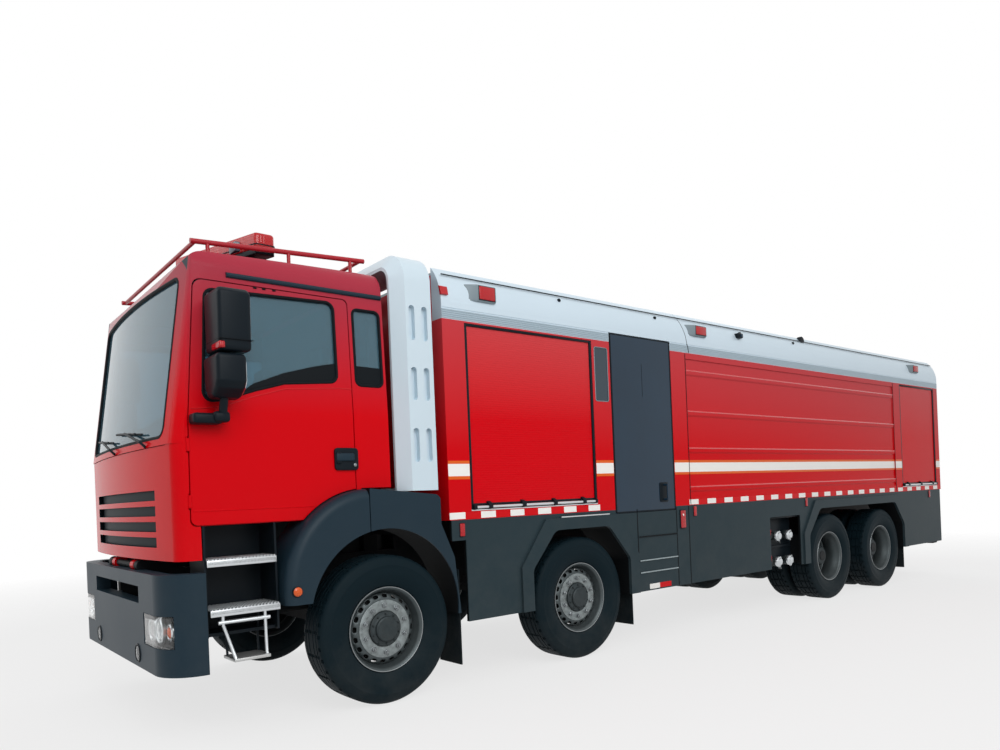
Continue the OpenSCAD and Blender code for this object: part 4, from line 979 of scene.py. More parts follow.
def stripeLeft():
    parts = []
    half = stripe["white"] / 2
    for s0, s1, setBack in stripe["runs"]:
        y = sideY + setBack + stripe["thick"] / 2
        mid = stripe["mid"]
        parts.append(sidePlate("white", s0, s1, mid - half, mid + half, y, stripe["thick"], "whiteTape",
                               0.002))
        for low in (mid - half - stripe["orange"], mid + half):
            parts.append(sidePlate("orange", s0, s1, low, low + stripe["orange"], y, stripe["thick"],
                                   "orangeTape", 0.002))
    return join("stripeLeft", parts)


pair(stripeLeft(), "chassis")

# white and red dashes along the foot of the body
tape = {"low": 1.283, "high": 1.334, "dash": 0.150, "gap": 0.002,
        "runs": [(0.544, 2.192), (3.492, 8.240), (8.262, 9.730)], "thick": 0.0012}


# start, end and finish of each dash between two places
def dashes(begin, end, spare):
    look, other = "whiteTape", "redTape"
    while begin < end - spare:
        stop = min(begin + tape["dash"], end)
        yield begin, stop - tape["gap"], look
        begin, look, other = stop, other, look


def tapeLeft():
    parts = []
    y = sideY + tape["thick"] / 2
    for run in tape["runs"]:
        for s0, s1, look in dashes(*run, 0.03):
            parts.append(sidePlate("dash", s0, s1, tape["low"], tape["high"], y, tape["thick"], look, 0.002))
    return join("dashTapeLeft", parts)


pair(tapeLeft(), "chassis")
print("stripe and tape laid")

# lamps: boxes on the coving, side markers, tail clusters
covingLamp = {"places": [(0.928, 0.280, 2.977, 3.109), (3.715, 0.298, 2.992, 3.105),
                         (8.900, 0.280, 2.992, 3.105)], "centre": (0.850, 2.931), "radius": 0.400}


def covingY(z, sink=0.012):
    y0, z0 = covingLamp["centre"]
    return y0 + math.sqrt(max(covingLamp["radius"] ** 2 - (z - z0) ** 2, 0.0)) - sink


# grey wedge that grows towards the rear, with the red lens on its rear part
def covingLampPiece(s, length, low, high):
    x0, x1 = station(s + length / 2), station(s - length / 2)
    split = x1 - (x1 - x0) * 0.36
    front = sideY + 0.022
    body = [(covingY(high), high), (front - 0.012, high), (front, high - 0.012), (front, low + 0.014),
            (front - 0.010, low), (covingY(low), low)]
    parts = [crossPlate("housing", body, x0, split, "lampGrey", 0.003)]
    nose = crossPlate("nose", body, split - 0.004, x1, "lampGrey", 0.003)
    for vert in nose.data.vertices:  # taper the front part back to the coving
        run = max(0.0, (vert.co.x - split) / (x1 - split))
        vert.co.y += (covingY(vert.co.z) - vert.co.y) * run * 0.92
    parts.append(nose)
    parts.append(boxOf("lensRim", "trimBlack", (x0 + 0.008, front - 0.008, low + 0.010),
                       (split - 0.004, front + 0.003, high - 0.008), 0.003))
    parts.append(boxOf("lens", "redLens", (x0 + 0.013, front - 0.01, low + 0.015),
                       (split - 0.009, front + 0.0085, high - 0.013), 0.008, 3))
    return join("covingLamp", parts)


lampPieces = []
for k, spec in enumerate(covingLamp["places"]):
    lamp = covingLampPiece(*spec)
    lamp.name = "covingLamp%dLeft" % (k + 1)
    lampPieces += pair(lamp, "chassis")

marker = {"places": [(0.655, 1.200), (3.571, 1.215), (5.750, 1.225), (9.300, 1.215)], "half": (0.026, 0.054),
          "deep": 0.012}


def markerPiece(name, s, z):
    x, deep, (wide, tall) = station(s), marker["deep"], marker["half"]
    base = boxOf("base", "trimBlack", (x - wide, sideY - 0.001, z - tall),
                 (x + wide, sideY + deep * 0.5, z + tall), 0.004)
    lens = boxOf("lens", "redLens", (x - wide + 0.004, sideY, z - tall + 0.005),
                 (x + wide - 0.004, sideY + deep, z + tall - 0.005), 0.006, 3)
    return join(name, [base, lens])


for k, (s, z) in enumerate(marker["places"]):
    lampPieces += pair(markerPiece("marker%dLeft" % (k + 1), s, z), "chassis")

tail = {"low": 1.300, "high": 1.440, "inner": 0.905, "outer": 1.165, "deep": 0.036}


def tailPiece():
    back = rearFace
    parts = [boxOf("base", "trimBlack", (back - 0.02, tail["inner"], tail["low"]),
                   (back + 0.002, tail["outer"], tail["high"]), 0.005)]
    third = (tail["outer"] - tail["inner"]) / 3
    for k, name in enumerate(("clearLens", "orangeLens", "redLens")):
        y = tail["inner"] + k * third
        parts.append(boxOf("lens", name, (back - tail["deep"], y + 0.005, tail["low"] + 0.008),
                           (back - 0.01, y + third - 0.005, tail["high"] - 0.008), 0.012, 3))
    return join("tailLampLeft", parts)


lampPieces += pair(tailPiece(), "chassis")

# headlamps follow the bumper's bend: dark bowl, two projectors, clear cover
headlamp = {"inner": 0.720, "outer": 1.120, "low": 0.600, "high": 0.800, "columns": 17, "rows": 7,
            "eyeSunk": 0.052, "eyes": ((0.80, 0.066, "clearLens"), (0.945, 0.066, "clearLens"),
                                       (1.06, 0.040, "orangeLens"))}


# sheet that follows the lamp's face, set in from its edges
def lampSkin(name, look, inset, lift, thick):
    y0, y1 = headlamp["inner"] + inset, headlamp["outer"] - inset
    z0, z1 = headlamp["low"] + inset, headlamp["high"] - inset
    deselect()
    bpy.ops.mesh.primitive_grid_add(x_subdivisions=headlamp["columns"] - 1,
                                    y_subdivisions=headlamp["rows"] - 1, size=1)
    obj = bpy.context.object
    obj.name = name
    for vert in obj.data.vertices:
        y = y0 + (y1 - y0) * (vert.co.x + 0.5)
        z = z0 + (z1 - z0) * (vert.co.y + 0.5)
        spot = fromAhead("lamps", y, z)
        vert.co = (spot.x + lift if spot else 0, y, z)
    outwards(obj)
    modify(obj, "SOLIDIFY", thickness=thick, offset=-1)
    modify(obj, "BEVEL", width=thick * 0.3, segments=2, limit_method="ANGLE")
    return dress(smooth(obj), look)


def headlampPiece():
    box = headlamp
    parts = [lampSkin("bowl", "trimBlack", 0.002, -0.055, 0.02)]
    mid = (box["low"] + box["high"]) / 2
    for y, reach, name in box["eyes"]:
        face = fromAhead("lamps", y, mid).x
        bezel = turnedPiece("bezel", [(reach + 0.012, 0), (reach + 0.014, 0.016), (reach + 0.006, 0.022),
                                      (reach, 0.016), (reach - 0.006, -0.01)], (0, 0, 0), 40,
                            caps=(True, False))
        eye = turnedPiece("eye", [(reach, 0.002), (reach * 0.98, 0.008), (reach * 0.86, 0.018),
                                  (reach * 0.6, 0.026), (reach * 0.2, 0.030)], (0, 0, 0), 40)
        for obj, look in ((bezel, "brushedAlu"), (eye, name)):
            turnPiece(obj, (face - box["eyeSunk"], y, mid), forwards)
            parts.append(smooth(dress(obj, look), 40))
    parts.append(lampSkin("cover", "coverLens", 0.003, -0.002, 0.005))
    return join("headlampLeft", parts)


lampPieces += pair(headlampPiece(), "chassis")
for obj in lampPieces:
    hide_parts("lamps")
print("lamps fitted")

# warning bar: bent like a shallow V, red domes on a dark tray
lightBar = {"tip": 1.000, "outline": [(0, 0), (-0.28, 0.86), (-0.44, 0.86), (-0.2, 0), (-0.44, -0.86),
                                      (-0.28, -0.86)], "foot": 3.190, "top": 3.340}


def shrunk(points, amount):
    out = []
    for i, p in enumerate(points):
        here, before, after = Vector(p), Vector(points[i - 1]), Vector(points[(i + 1) % len(points)])
        a, b = (here - before).normalized(), (after - here).normalized()
        normal = (Vector((-a.y, a.x)) + Vector((-b.y, b.x))).normalized()
        out.append(tuple(here + normal * amount / max(normal.dot(Vector((-a.y, a.x))), 0.3)))
    return out


def barPiece():
    tip = Vector((axle[0] + lightBar["tip"], 0))
    plan = [tuple(tip + Vector(p)) for p in lightBar["outline"]]
    foot, top = lightBar["foot"], lightBar["top"]
    parts = [deckPlate("tray", rounded(shrunk(plan, 0.008), 0.02), foot, foot + 0.035, "trimBlack", 0.004)]
    parts.append(deckPlate("dome", rounded(shrunk(plan, 0.004), 0.03, 6), foot + 0.034, top, "barLens",
                           0.022))
    parts.append(deckPlate("band", rounded(shrunk(plan, 0.001), 0.028), foot + 0.062, foot + 0.070,
                           "trimBlack", 0.001))
    for side in (1, -1):
        for reach in (0.24, 0.48, 0.72):
            lean = 0.28 / 0.86 * reach
            x0, x1 = tip.x - lean - 0.19 + 0.06 * reach, tip.x - lean - 0.012
            parts.append(boxOf("rib", "barBlue" if reach == 0.48 else "trimBlack",
                               (x0, side * reach - 0.006, foot + 0.03),
                               (x1, side * reach + 0.006, top - 0.004), 0.004))
        y0, y1 = sorted((side * 0.50, side * 0.70))
        parts.append(boxOf("siren", "barBlue", (tip.x - 0.30, y0, foot + 0.045),
                           (tip.x - 0.195, y1, top - 0.035), 0.01))
        low = onSurface("cab_shell", (tip.x - 0.30, side * 0.60, rayFrom["above"]), (0, 0, -1))
        parts.append(boxOf("foot", "trimBlack",
                           (tip.x - 0.36, side * 0.60 - 0.04, (low.z if low else 3.07) - 0.01),
                           (tip.x - 0.24, side * 0.60 + 0.04, foot + 0.01), 0.008))
    return join("warningBar", parts)


bar = carry(barPiece(), "cab")
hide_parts("light_bar")
print("warning bar fitted")

# rear-view mirrors: a tall upper housing over a smaller one, on a boxed arm
mirror = {"upper": [(1.152, 2.392), (1.408, 2.386), (1.420, 2.74), (1.392, 2.768), (1.172, 2.768),
                    (1.150, 2.74)], "lower": [(1.152, 2.372), (1.408, 2.374), (1.404, 2.205), (1.375, 2.165),
                                              (1.300, 2.115), (1.215, 2.110), (1.158, 2.175)],
          "upperX": (0.985, 1.188), "lowerX": (1.020, 1.205), "arm": (1.120, 1.298), "elbow": (1.080, 1.180),
          "stem": 1.120}


def mirrorPiece():
    x = axle[0]
    parts = []
    for outline, (x0, x1) in ((mirror["upper"], mirror["upperX"]), (mirror["lower"], mirror["lowerX"])):
        soft = rounded(outline, 0.030, 5)
        parts.append(crossPlate("housing", soft, x + x0, x + x1, "trimBlack", 0.028))
        centre = Vector((sum(p[0] for p in soft) / len(soft), sum(p[1] for p in soft) / len(soft)))
        face = [tuple(centre + (Vector(p) - centre) * 0.80) for p in soft]
        parts.append(crossPlate("glass", face, x + x0 - 0.002, x + x0 + 0.01, "mirrorFace", 0.001))
    x0, x1 = mirror["arm"]
    parts.append(boxOf("arm", "trimBlack", (x + x0, cabY - 0.004, 1.962), (x + x1, cabY + 0.108, 2.028),
                       0.018, 3))
    x0, x1 = mirror["elbow"]
    parts.append(boxOf("elbow", "trimBlack", (x + x0, 1.182, 1.972), (x + x1, 1.258, 2.038), 0.020, 3))
    stem = [(x + mirror["stem"], 1.228, 1.99), (x + mirror["stem"], 1.236, 2.04),
            (x + mirror["stem"], 1.262, 2.12), (x + mirror["stem"], 1.275, 2.55)]
    parts.append(tubeOf("stem", "trimBlack", stem, 0.026, sides=4))
    front = x + mirror["upperX"][1]
    parts.append(boxOf("repeater", "redLens", (front - 0.035, 1.275, 2.398), (front + 0.002, 1.416, 2.438),
                       0.008, 3))
    parts.append(boxOf("seam", "sealRubber", (x + mirror["upperX"][0] - 0.003, 1.184, 2.452),
                       (front + 0.0005, 1.4215, 2.456), 0.001))
    return join("mirrorLeft", parts)


for obj in pair(mirrorPiece(), "cab_door_left"):
    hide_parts("mirror_" + obj.name[6:].lower())

# cab steps: serrated treads and a folding lower step
steps = {"near": 0.784, "far": 1.226, "treads": [(1.119, 1.150), (0.812, 1.180)], "back": 0.870,
         "armTops": (0.880, 1.150), "armFeet": (0.880, 1.085), "foot": 0.480, "teeth": 20,
         "toothPitch": (0.0222, 0.040)}


def treadPiece(z, front):
    x0, x1 = axle[0] + steps["near"], axle[0] + steps["far"]
    tray = boxPiece("tray", (x0, steps["back"], z - 0.028), (x1, front, z - 0.004), 0.002)
    pushFaces(tray, lambda f: f.normal.z < -0.9 and f.area > 0.01, 0.004, -0.02)
    # painted shade: the tray under the teeth is dark, standing in for the shade between them
    dress(tray, "hubGrey")
    tooth = boxPiece("tooth", (x0 + 0.004, front - 0.020, z - 0.006), (x0 + 0.016, front - 0.001, z + 0.010),
                     0.003, 1)
    along, deep = steps["toothPitch"]
    repeat(tooth, steps["teeth"], (along, 0, 0))
    dress(repeat(tooth, int((front - steps["back"]) / deep), (0, -deep, 0)), "brushedAlu")
    lip = boxOf("lip", "brushedAlu", (x0 - 0.002, front - 0.006, z - 0.040), (x1 + 0.002, front, z + 0.001),
                0.002)
    return [tray, tooth, lip]


def stepsPiece():
    parts = []
    for z, front in steps["treads"]:
        parts += treadPiece(z, front)
    foot, y = steps["foot"], 1.163
    tops, feet = ([axle[0] + c for c in steps[k]] for k in ("armTops", "armFeet"))
    for top, low in zip(tops, feet):
        rail = [(top, y, 0.79), (top, y, 0.715), (low, y + 0.006, foot + 0.03),
                (low, y + 0.018, foot + 0.012)]
        parts.append(tubeOf("arm", "brushedAlu", rail, 0.011))
        parts.append(tubeOf("stay", "trimBlack",
                            [(low, 1.03, foot + 0.012), (low, 1.02, 0.62), (top, 1.06, 0.785)], 0.008))
    parts.append(tubeOf("topBar", "brushedAlu", [(tops[0] - 0.03, y, 0.732), (tops[1] + 0.03, y, 0.732)],
                        0.013))
    plate = boxPiece("footPlate", (feet[0] - 0.014, 1.000, foot), (feet[1] + 0.014, 1.200, foot + 0.020),
                     0.003)
    pushFaces(plate, lambda f: f.normal.z < -0.9 and f.area > 0.01, 0.006, -0.014)
    parts.append(dress(plate, "chequerPlate"))
    return join("cabStepsLeft", parts)


for obj in pair(stepsPiece(), "cab"):
    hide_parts("step_treads")
print("mirrors and steps fitted")

# rubber seals, belt lines and gutters of the cab
cabTrim = {"door": [(0.278, 2.289), (0.667, 2.257), (0.873, 2.198), (1.069, 2.130), (1.205, 2.105),
                    (1.160, 2.822), (0.278, 2.846)],
           "quarter": [(-0.085, 2.276), (0.130, 2.276), (0.130, 2.822), (-0.085, 2.822)], "lean": 0.0367,
           "leanFrom": 2.05, "seal": 0.011, "screen": (0.960, 1.900, 2.915),
           "belt": [(1.285, 2.062), (1.200, 2.066), (1.060, 2.092), (0.868, 2.160), (0.662, 2.219),
                    (0.270, 2.246), (0.170, 2.246)], "crease": [(1.290, 1.430), (0.490, 1.430)],
           "studs": (0.845, 0.785, 0.715), "studZ": 2.873,
           "gutter": (1.020, 0.9, 0.75, 0.5, 0.2, -0.05, -0.105), "gutterZ": 2.930}


def cabSideY(z):
    return cabY - max(z - cabTrim["leanFrom"], 0) * cabTrim["lean"]


def sealLoop(name, outline, corner, radius):
    loop = rounded([(axle[0] + c, z) for c, z in outline], corner, 6)
    return tubeOf(name, "sealRubber", [(x, cabSideY(z) - 0.003, z) for x, z in loop], radius, closed=True,
                  sides=2)


# black edge printed on the lower part of a side window
def fritPiece(name, outline):
    obj = platePiece(name, [(axle[0] + c, z) for c, z in outline], 0, 0.002)
    for vert in obj.data.vertices:
        vert.co.y += cabSideY(vert.co.z) - 0.0055
    return dress(obj, "sealRubber")


def doorTrim():
    parts = [sealLoop("doorSeal", cabTrim["door"], 0.055, cabTrim["seal"])]
    parts.append(fritPiece("doorFrit", [(0.285, 2.295), (0.667, 2.262), (0.873, 2.204), (0.980, 2.165),
                                        (0.880, 2.240), (0.667, 2.325), (0.450, 2.385), (0.285, 2.420)]))
    for line in (cabTrim["belt"], cabTrim["crease"]):
        path = [(axle[0] + c, cabSideY(z) - 0.001, z) for c, z in line]
        parts.append(tubeOf("beltLine", "truckRed", path, 0.0045, sides=2))
    for c in cabTrim["studs"]:
        spot = (axle[0] + c, cabSideY(cabTrim["studZ"]) + 0.001, cabTrim["studZ"])
        parts.append(tubeOf("stud", "sealRubber", [spot, (spot[0] - 0.022, spot[1], spot[2])], 0.006,
                            sides=2))
    return join("doorSealLeft", parts)


pair(doorTrim(), "cab_door_left")
quarterBits = [sealLoop("quarterSeal", cabTrim["quarter"], 0.040, cabTrim["seal"])]
quarterBits.append(fritPiece("quarterFrit",
                             [(-0.080, 2.280), (0.125, 2.280), (0.125, 2.415), (-0.080, 2.410)]))
gutter = []
for c in cabTrim["gutter"]:
    spot = fromBeside("cab_shell", axle[0] + c, cabTrim["gutterZ"])
    if spot:
        gutter.append((spot.x, spot.y + 0.002, spot.z))
quarterBits.append(tubeOf("gutter", "fenderBlack", gutter, 0.017, sides=3))
pair(join("cabSealLeft", quarterBits), "cab")


# the seal is laid on the glass a little inside its edge, then carried out along the rake
screen = {"inset": 0.985, "mid": 2.4, "rake": 7.9, "corner": 0.07, "spacing": 0.12}


def screenSeal():
    half, low, high = cabTrim["screen"]
    inset, midZ, rake = screen["inset"], screen["mid"], math.tan(math.radians(screen["rake"]))
    loop = rounded(rectangle(-half, low, half, high), screen["corner"], 6)
    dense = []
    for i, (y, z) in enumerate(loop):
        y1, z1 = loop[(i + 1) % len(loop)]
        count = max(1, int(math.hypot(y1 - y, z1 - z) / screen["spacing"]))
        for k in range(count):
            dense.append((y + (y1 - y) * k / count, z + (z1 - z) * k / count))
    ring = []
    for y, z in dense:
        inner = fromAhead("cab_glass", y * inset, midZ + (z - midZ) * inset)
        if inner:
            lean = (inner.z - z) * rake
            ring.append((inner.x + 0.004 + lean, y, z))
    return tubeOf("screenSeal", "sealRubber", ring, 0.014, closed=True, sides=2)


carry(screenSeal(), "cab")

wiper = {"pivots": (0.62, -0.08), "foot": 1.880, "reach": 0.62}


def wiperPiece(name, y0):
    z0 = wiper["foot"]
    spots = []
    for k in range(7):
        y, z = y0 - wiper["reach"] * k / 6, z0 + 0.065 + 0.05 * k / 6
        spot = fromAhead("cab_glass", max(-0.9, min(0.9, y)), max(z, 1.93))
        if spot:
            spots.append((spot.x + 0.020, y, z))
    blade = tubeOf("blade", "sealRubber", spots, 0.007, sides=2)
    holder = tubeOf("holder", "trimBlack", [(x + 0.014, y, z + 0.004) for x, y, z in spots[1:-1]], 0.006,
                    sides=2)
    root = fromAhead("cab_shell", y0 + 0.08, z0 - 0.025)
    rootX = root.x if root else spots[0][0]
    arm = tubeOf("arm", "trimBlack", [(rootX + 0.004, y0 + 0.08, z0 - 0.025),
                                      (rootX + 0.030, y0 + 0.05, z0 + 0.01),
                                      (spots[3][0] + 0.020, spots[3][1], spots[3][2] + 0.006)], 0.009,
                 sides=2)
    return carry(join(name, [blade, holder, arm]), "cab")


for k, y in enumerate(wiper["pivots"]):
    wiperPiece("wiper%d" % (k + 1), y)


handle = {"cup": (0.150, 1.672, 0.331, 1.828), "grip": (0.185, 0.324, 1.735, 1.790),
          "root": (0.285, 0.322, 1.715, 1.800), "lock": (0.178, 1.708)}


# dark cup over the door's pad, with a pull grip
def handlePiece():
    x = axle[0]
    c0, low, c1, high = handle["cup"]
    outline = rounded(rectangle(x + c0, low, x + c1, high), 0.024)
    parts = [dress(platePiece("cup", outline, cabY + 0.007, 0.020, 0.004), "trimBlack")]
    c0, c1, low, high = handle["grip"]
    parts.append(boxOf("grip", "fenderBlack", (x + c0, cabY + 0.012, low), (x + c1, cabY + 0.030, high),
                       0.009, 3))
    c0, c1, low, high = handle["root"]
    parts.append(boxOf("gripRoot", "trimBlack", (x + c0, cabY + 0.010, low), (x + c1, cabY + 0.027, high),
                       0.008, 3))
    c, z = handle["lock"]
    lock = turnedPiece("lock", [(.012, 0), (.012, .006), (.009, .008), (.004, .008)],
                       (x + c, cabY + 0.015, z), 20)
    parts.append(smooth(dress(lock, "boltSteel")))
    return join("doorHandleLeft", parts)


pair(handlePiece(), "cab_door_left")
print("cab trim fitted")

# pump outlets in a dark recess
outlet = {"stations": (5.200, 5.440), "heights": (0.560, 0.855), "back": 1.110,
          "recess": (4.950, 5.600, 0.500, 1.080),
          "neck": [(.044, 0), (.044, .028), (.055, .030), (.055, .044), (.048, .047), (.048, .060)],
          "cap": [(.053, .060), (.0575, .064), (.0575, .084), (.053, .092), (.040, .098), (.036, .108),
                  (.017, .112)]}


def outletPiece(x, z):
    spot = (x, outlet["back"], z)
    parts = [smooth(turnedOf("neck", "hubGrey", outlet["neck"], spot, 36), 30)]
    cap = turnedPiece("cap", outlet["cap"], spot, 36)

    def lug(face):  # two of every twelve faces round the cap
        turn = math.atan2(face.center.z - z, face.center.x - x) % (2 * math.pi) / (2 * math.pi)
        return abs(face.normal.y) < 0.2 and face.center.y > spot[1] + 0.066 and int(turn * 36) % 12 < 2

    pushFaces(cap, lug, 0.0005, 0.012)
    parts.append(smooth(dress(cap, "brushedAlu"), 30))
    return parts


def outletsPiece():
    s0, s1, low, high = outlet["recess"]
    x0, x1, back = station(s1), station(s0), outlet["back"]
    parts = [boxOf("backPlate", "trimBlack", (x0, back - 0.02, low), (x1, back, high), 0.003)]
    parts.append(boxOf("roofPlate", "trimBlack", (x0, back - 0.02, high - 0.02), (x1, sideY - 0.030, high),
                       0.003))
    parts.append(boxOf("valveRail", "trimBlack", (x0 + 0.03, back, 0.712), (x1 - 0.03, back + 0.02, 0.742),
                       0.004))
    for s in outlet["stations"]:
        for z in outlet["heights"]:
            parts += outletPiece(station(s), z)
    for z in outlet["heights"]:
        spot = (station(5.055), back, z + 0.01)
        parts.append(smooth(turnedOf("valve", "castIron",
                                     [(.030, 0), (.030, .05), (.042, .054), (.042, .070), (.036, .076),
                                      (.012, .078)], spot, 28), 30))
        lever = tubePiece("lever", [(spot[0], back + 0.07, spot[2]),
                                    (spot[0] + 0.02, back + 0.085, spot[2] + 0.05),
                                    (spot[0] + 0.03, back + 0.085, spot[2] + 0.09)], 0.007)
        parts.append(dress(lever, "redTape"))
        s = outlet["stations"][0]
        link = [(station(s), back + 0.09, z - 0.055), (station(s + 0.057), back + 0.075, z - 0.085),
                (station(s + 0.119), back + 0.03, z - 0.095), (station(s + 0.119), back - 0.002, z - 0.085)]
        parts.append(tubeOf("chain", "boltSteel", link, 0.004, sides=2))
    return join("outletsLeft", parts)


for obj in pair(outletsPiece(), "chassis"):
    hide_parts("pump_couplings")

# place and thickness of thin films on the body side
jointFilm, patchFilm, foldFilm = (sideY + 0.0006, 0.0016), (sideY + 0.0016, 0.0016), (sideY + 0.0085, 0.0016)

# narrow window, crew door seams and reflectors on the body side
bodySide = {"window": (2.190, 2.367, 2.258, 2.749), "door": (2.394, 3.275, 1.240, 2.896),
            "reflector": (3.370, 1.050, 1.238)}


def narrowWindow():
    s0, s1, low, high = bodySide["window"]
    glass = sidePlate("pane", s0 + 0.004, s1 - 0.004, low + 0.004, high - 0.004, sideY - 0.006, 0.006,
                      "paneGrey", 0.018)
    loop = rounded(rectangle(station(s1) + 0.004, low + 0.004, station(s0) - 0.004, high - 0.004), 0.02, 5)
    rim = tubePiece("rim", [(x, sideY, z) for x, z in loop], 0.0038, closed=True, sides=2)
    return join("sideWindowLeft", [glass, dress(rim, "lampGrey")])


pair(narrowWindow(), "chassis")


def crewSeams():
    s0, s1, low, high = bodySide["door"]
    mid = (s0 + s1) / 2
    parts = [sidePlate("seam", mid - 0.002, mid + 0.002, 2.33, 2.64, *jointFilm, "trimBlack", 0.001)]
    for s in (s0 + 0.014, s1 - 0.014):
        parts.append(sidePlate("edge", s - 0.008, s + 0.008, low + 0.01, high - 0.01, *jointFilm,
                               "sealRubber", 0.002))
    for z in (low + 0.012, high - 0.012):
        parts.append(sidePlate("rail", s0 + 0.008, s1 - 0.008, z - 0.004, z + 0.004, *jointFilm, "sealRubber",
                               0.002))
    parts.append(sidePlate("cup", 3.030, 3.160, 1.325, 1.515, sideY + 0.002, 0.006, "trimBlack", 0.02, 0.002))
    return join("crewDoorTrimLeft", parts)


pair(crewSeams(), "crew_door_left")


def reflectorPiece():
    s, low, high = bodySide["reflector"]
    parts = [sidePlate("base", s - 0.046, s + 0.046, low, high, sideY + 0.004, 0.010, "trimBlack", 0.012,
                       0.002)]
    parts.append(sidePlate("lens", s - 0.038, s + 0.038, low + 0.008, high - 0.008, sideY + 0.009, 0.006,
                           "redLens", 0.01, 0.002))
    parts.append(smooth(turnedOf("dot", "whiteTape", [(.010, 0), (.010, .003), (.006, .004), (.002, .004)],
                                 (station(s), sideY + 0.011, high - 0.05), 20)))
    return join("reflectorLeft", parts)


pair(reflectorPiece(), "chassis")

# joints of the panels round the step box, painted highlights along two folds, and a tape patch
skirtLines = {"upright": (2.690, 3.275, 3.472), "uprightSpan": (0.498, 1.272), "cross": (2.690, 3.275, 1.009),
              "folds": (0.785, 0.673), "patch": (2.829, 3.150, 0.508, 0.556), "archStrip": (0.300, 1.2455),
              "covingSeam": (3.466, 0.22)}


def skirtTrim():
    parts = []
    low, high = skirtLines["uprightSpan"]
    for s in skirtLines["upright"]:
        parts.append(sidePlate("joint", s - 0.006, s + 0.006, low, high, *jointFilm, "sealRubber"))
    s0, s1, z = skirtLines["cross"]
    parts.append(sidePlate("joint", s0 + 0.01, s1 - 0.01, z - 0.006, z + 0.006, *foldFilm, "sealRubber"))
    # painted highlights along the two folds of the step box
    for z in skirtLines["folds"]:
        parts.append(sidePlate("fold", s0 + 0.01, s1 - 0.01, z - 0.0055, z + 0.0055, *foldFilm, "foldGrey"))
    s0, s1, low, high = skirtLines["patch"]
    mid = s0 + (s1 - s0) * 0.46
    parts.append(sidePlate("patch", s0, mid, low, high, *patchFilm, "whiteTape", 0.002))
    parts.append(sidePlate("patch", mid, s1, low, high, *patchFilm, "redTape", 0.002))
    half, z = skirtLines["archStrip"]
    foot = axle[1] - 0.04
    line = [(foot - half, sideY + 0.018, z), (foot + half, sideY + 0.018, z)]
    parts.append(tubeOf("archStrip", "brushedAlu", line, 0.006, sides=2))
    s, lean = skirtLines["covingSeam"]
    arc = []
    for k in range(12):
        z = 2.812 + 0.340 * k / 11
        arc.append((station(s + (3.300 - z) * lean),
                    min(covingY(z, 0.001), sideY + 0.004) if z > 2.90 else sideY + 0.004, z))
    parts.append(tubeOf("covingSeam", "sealRubber", arc, 0.0032, sides=2))
    return join("skirtTrimLeft", parts)


pair(skirtTrim(), "chassis")

# bead on each rib of the tank with a painted highlight in a paler, glossier red, and dark strips of painted
# shade along the steps at the ends of the ribbed field
tankTrim = {"ribs": (1.440, 1.830, 2.201, 2.612), "crown": 0.020, "radius": 0.007, "run": (3.520, 8.200),
            "joints": (3.511, 8.209)}


def tankTrimPiece():
    parts = []
    for z in tankTrim["ribs"]:
        # painted highlight: a paler red bead along each rib's crown
        line = [(station(s), sideY - 0.005, z + tankTrim["crown"]) for s in tankTrim["run"]]
        parts.append(tubeOf("ribCrown", "ribRed", line, tankTrim["radius"], sides=3))
    # painted shade: dark strips along the step at each end of the ribbed field
    for s in tankTrim["joints"]:
        parts.append(sidePlate("joint", s - 0.004, s + 0.004, 1.285, 2.800, sideY + 0.0022, 0.0016,
                               "sealRubber"))
    return join("tankTrimLeft", parts)


pair(tankTrimPiece(), "chassis")
print("body side fitted")

# fittings along the silver coving
coving = {"knobs": (1.828, 3.118, 4.567, 5.678), "knobZ": 3.120, "camera": (4.500, 3.083),
          "disc": (5.944, 3.184), "rail": (0.60, 9.70), "endInside": (2.985, 3.01, 3.035, 3.06),
          "endOutside": (3.052, 3.02, 2.99)}


def covingFittings():
    parts = []
    for s in coving["knobs"]:
        y = covingY(coving["knobZ"], 0)
        parts.append(smooth(turnedOf("knob", "trimBlack",
                                     [(.016, -.006), (.016, .006), (.012, .014), (.004, .016)],
                                     (station(s), y, coving["knobZ"]), 20)))
    s, z = coving["camera"]
    parts.append(boxOf("cameraBody", "trimBlack", (station(s) - 0.045, covingY(z) - 0.01, z - 0.03),
                       (station(s) + 0.045, covingY(z) + 0.06, z + 0.025), 0.014, 3))
    parts.append(smooth(turnedOf("cameraEye", "crewGlass",
                                 [(.018, 0), (.018, .01), (.012, .014), (.003, .015)],
                                 (station(s), covingY(z) + 0.058, z - 0.004), 24)))
    s, z = coving["disc"]
    parts.append(smooth(turnedOf("disc", "trimBlack", [(.05, -.03), (.05, .012), (.042, .02), (.01, .022)],
                                 (station(s), covingY(z) + 0.012, z), 32)))
    s0, s1 = coving["rail"]
    top = covingLamp["centre"][1] + 0.235
    parts.append(tubeOf("edgeRail", "trimBlack",
                        [(station(s0), covingY(top, -0.012), top), (station(s1), covingY(top, -0.012), top)],
                        0.005, sides=2))
    front = station(0.552)
    wrap = [(covingY(z, 0.004), z) for z in coving["endInside"]]
    wrap += [(covingY(z, -0.018), z) for z in coving["endOutside"]]
    parts.append(crossPlate("endLamp", wrap, front - 0.055, front + 0.012, "redLens", 0.002))
    return join("covingFittingsLeft", parts)


pair(covingFittings(), "chassis")

# grooved metal strip between the panels and the coving, on both sides of the crew door
strip = {"runs": [(0.546, 2.390), (3.279, 9.736)], "low": 2.812, "high": 2.886, "ribs": 5, "proud": 0.004}


